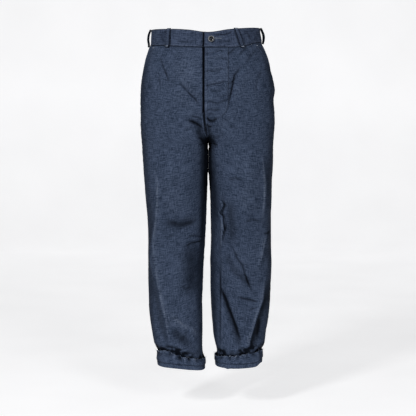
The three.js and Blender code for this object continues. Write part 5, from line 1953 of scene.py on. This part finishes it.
def build_stage(settings):
    """Floor and backdrop in one sweep of paper, soft light and the camera."""
    bend_at, bend = PAPER["bend_at"], PAPER["bend"]
    angle = np.linspace(0, math.pi / 2, 24)
    profile = [(PAPER["start"], 0), (0, 0)]
    profile += [(bend_at + bend * math.sin(a), bend - bend * math.cos(a)) for a in angle]
    profile += [(bend_at + bend, bend + 1500), (bend_at + bend, PAPER["height"])]
    across = np.linspace(-PAPER["half"], PAPER["half"], 12)
    grid = np.array([[(x, y, FLOOR / MM + z) for x in across] for y, z in profile])
    faces = grid_faces(len(profile), len(across))
    paper = make_mesh("backdrop_paper", grid.reshape(-1, 3), faces, shared("studio_paper"))

    for name, (place, size, share) in LIGHTS.items():
        area_light(name, place, size, settings.key_light * share)

    world = bpy.data.worlds.new("studio")
    world.use_nodes = True
    sky = world.node_tree.nodes["Background"]
    sky.inputs["Color"].default_value = colour(SKY["tone"])
    sky.inputs["Strength"].default_value = SKY["strength"]
    bpy.context.scene.world = world
    bpy.context.scene.view_settings.view_transform = "Standard"

    lens = bpy.data.cameras.new("camera")
    lens.sensor_fit = "HORIZONTAL"
    lens.angle = math.radians(CAMERA["angle"])
    lens.clip_end = 60
    camera = bpy.data.objects.new("camera", lens)
    camera.location = CAMERA["place"]
    camera.rotation_euler = (math.radians(90 - CAMERA["tilt"]), 0, 0)
    bpy.context.scene.collection.objects.link(camera)
    bpy.context.scene.camera = camera


# Add-on


class TrousersSettings(bpy.types.PropertyGroup):
    """What can be changed before the pieces are built."""

    crumple: bpy.props.FloatProperty(
        name="Crumple", description="How uneven the washed cloth is, as a share", default=1.0,
        min=0, max=3, unit="NONE",
    )
    crease_depth: bpy.props.FloatProperty(
        name="Crease depth", description="Depth of the fine creases, as a share", default=1.6,
        min=0, max=4, unit="NONE",
    )
    hem_wave: bpy.props.FloatProperty(
        name="Hem wave", description="How far the turned-up hems stand away, as a share",
        default=1.0, min=0, max=2, unit="NONE",
    )
    loose_ends: bpy.props.IntProperty(
        name="Loose ends", description="Yarn ends along the hem of each panel", default=34,
        min=1, max=60,
    )
    key_light: bpy.props.FloatProperty(
        name="Key light", description="Power of the main light", default=130.0, min=0, unit="POWER",
    )


class TROUSERS_OT_panels(bpy.types.Operator):
    """Builds the two fronts and the two backs"""

    bl_idname = "trousers.panels"
    bl_label = "Fronts and backs"
    bl_options = {"REGISTER", "UNDO"}

    def execute(self, context):
        build_panels(context.scene.trousers)
        return {"FINISHED"}


class TROUSERS_OT_pockets(bpy.types.Operator):
    """Builds the facings seen in the pocket mouths"""

    bl_idname = "trousers.pockets"
    bl_label = "Pocket facings"
    bl_options = {"REGISTER", "UNDO"}

    def execute(self, context):
        build_pockets(context.scene.trousers)
        return {"FINISHED"}


class TROUSERS_OT_fly(bpy.types.Operator):
    """Builds the strip behind the fly"""

    bl_idname = "trousers.fly"
    bl_label = "Fly stand"
    bl_options = {"REGISTER", "UNDO"}

    def execute(self, context):
        build_fly(context.scene.trousers)
        return {"FINISHED"}


class TROUSERS_OT_waistband(bpy.types.Operator):
    """Builds the waistband"""

    bl_idname = "trousers.waistband"
    bl_label = "Waistband"
    bl_options = {"REGISTER", "UNDO"}

    def execute(self, context):
        build_waistband(context.scene.trousers)
        return {"FINISHED"}


class TROUSERS_OT_belt_loops(bpy.types.Operator):
    """Builds the five belt loops"""

    bl_idname = "trousers.belt_loops"
    bl_label = "Belt loops"
    bl_options = {"REGISTER", "UNDO"}

    def execute(self, context):
        build_belt_loops(context.scene.trousers)
        return {"FINISHED"}


class TROUSERS_OT_button(bpy.types.Operator):
    """Builds the waist button and its thread"""

    bl_idname = "trousers.button"
    bl_label = "Waist button"
    bl_options = {"REGISTER", "UNDO"}

    def execute(self, context):
        build_button()
        return {"FINISHED"}


class TROUSERS_OT_sewing(bpy.types.Operator):
    """Sews the seams, edges, bars and the buttonhole"""

    bl_idname = "trousers.sewing"
    bl_label = "Stitching"
    bl_options = {"REGISTER", "UNDO"}

    def execute(self, context):
        build_sewing()
        return {"FINISHED"}


class TROUSERS_OT_frayed_hems(bpy.types.Operator):
    """Adds loose yarn ends to the turned-up hems"""

    bl_idname = "trousers.frayed_hems"
    bl_label = "Frayed hems"
    bl_options = {"REGISTER", "UNDO"}

    def execute(self, context):
        build_frayed_hems(context.scene.trousers)
        return {"FINISHED"}


class TROUSERS_OT_stage(bpy.types.Operator):
    """Adds the paper, lights and camera"""

    bl_idname = "trousers.stage"
    bl_label = "Stage"
    bl_options = {"REGISTER", "UNDO"}

    def execute(self, context):
        build_stage(context.scene.trousers)
        return {"FINISHED"}


OPERATORS = (
    TROUSERS_OT_panels,
    TROUSERS_OT_pockets,
    TROUSERS_OT_fly,
    TROUSERS_OT_waistband,
    TROUSERS_OT_belt_loops,
    TROUSERS_OT_button,
    TROUSERS_OT_sewing,
    TROUSERS_OT_frayed_hems,
    TROUSERS_OT_stage,
)


class TROUSERS_PT_build(bpy.types.Panel):
    """Buttons for the pieces, in the order in which they are built."""

    bl_label = "Trousers"
    bl_idname = "TROUSERS_PT_build"
    bl_space_type = "VIEW_3D"
    bl_region_type = "UI"
    bl_category = "Trousers"

    def draw(self, context):
        settings = context.scene.trousers
        for name in ("crumple", "crease_depth", "hem_wave", "loose_ends", "key_light"):
            self.layout.prop(settings, name)
        for made in OPERATORS:
            self.layout.operator(made.bl_idname)


def register():
    """Adds the settings, the build steps and their panel to Blender."""
    for made in (TrousersSettings, *OPERATORS, TROUSERS_PT_build):
        bpy.utils.register_class(made)
    bpy.types.Scene.trousers = bpy.props.PointerProperty(type=TrousersSettings)


def unregister():
    """Takes them out again."""
    del bpy.types.Scene.trousers
    for made in (TROUSERS_PT_build, *reversed(OPERATORS), TrousersSettings):
        bpy.utils.unregister_class(made)


def main():
    """Builds every piece and the stage."""
    register()
    bpy.ops.trousers.panels()
    bpy.ops.trousers.pockets()
    bpy.ops.trousers.fly()
    bpy.ops.trousers.waistband()
    bpy.ops.trousers.belt_loops()
    bpy.ops.trousers.button()
    bpy.ops.trousers.sewing()
    bpy.ops.trousers.frayed_hems()
    bpy.ops.trousers.stage()
    bpy.context.view_layer.update()


if __name__ == "__main__":
    main()
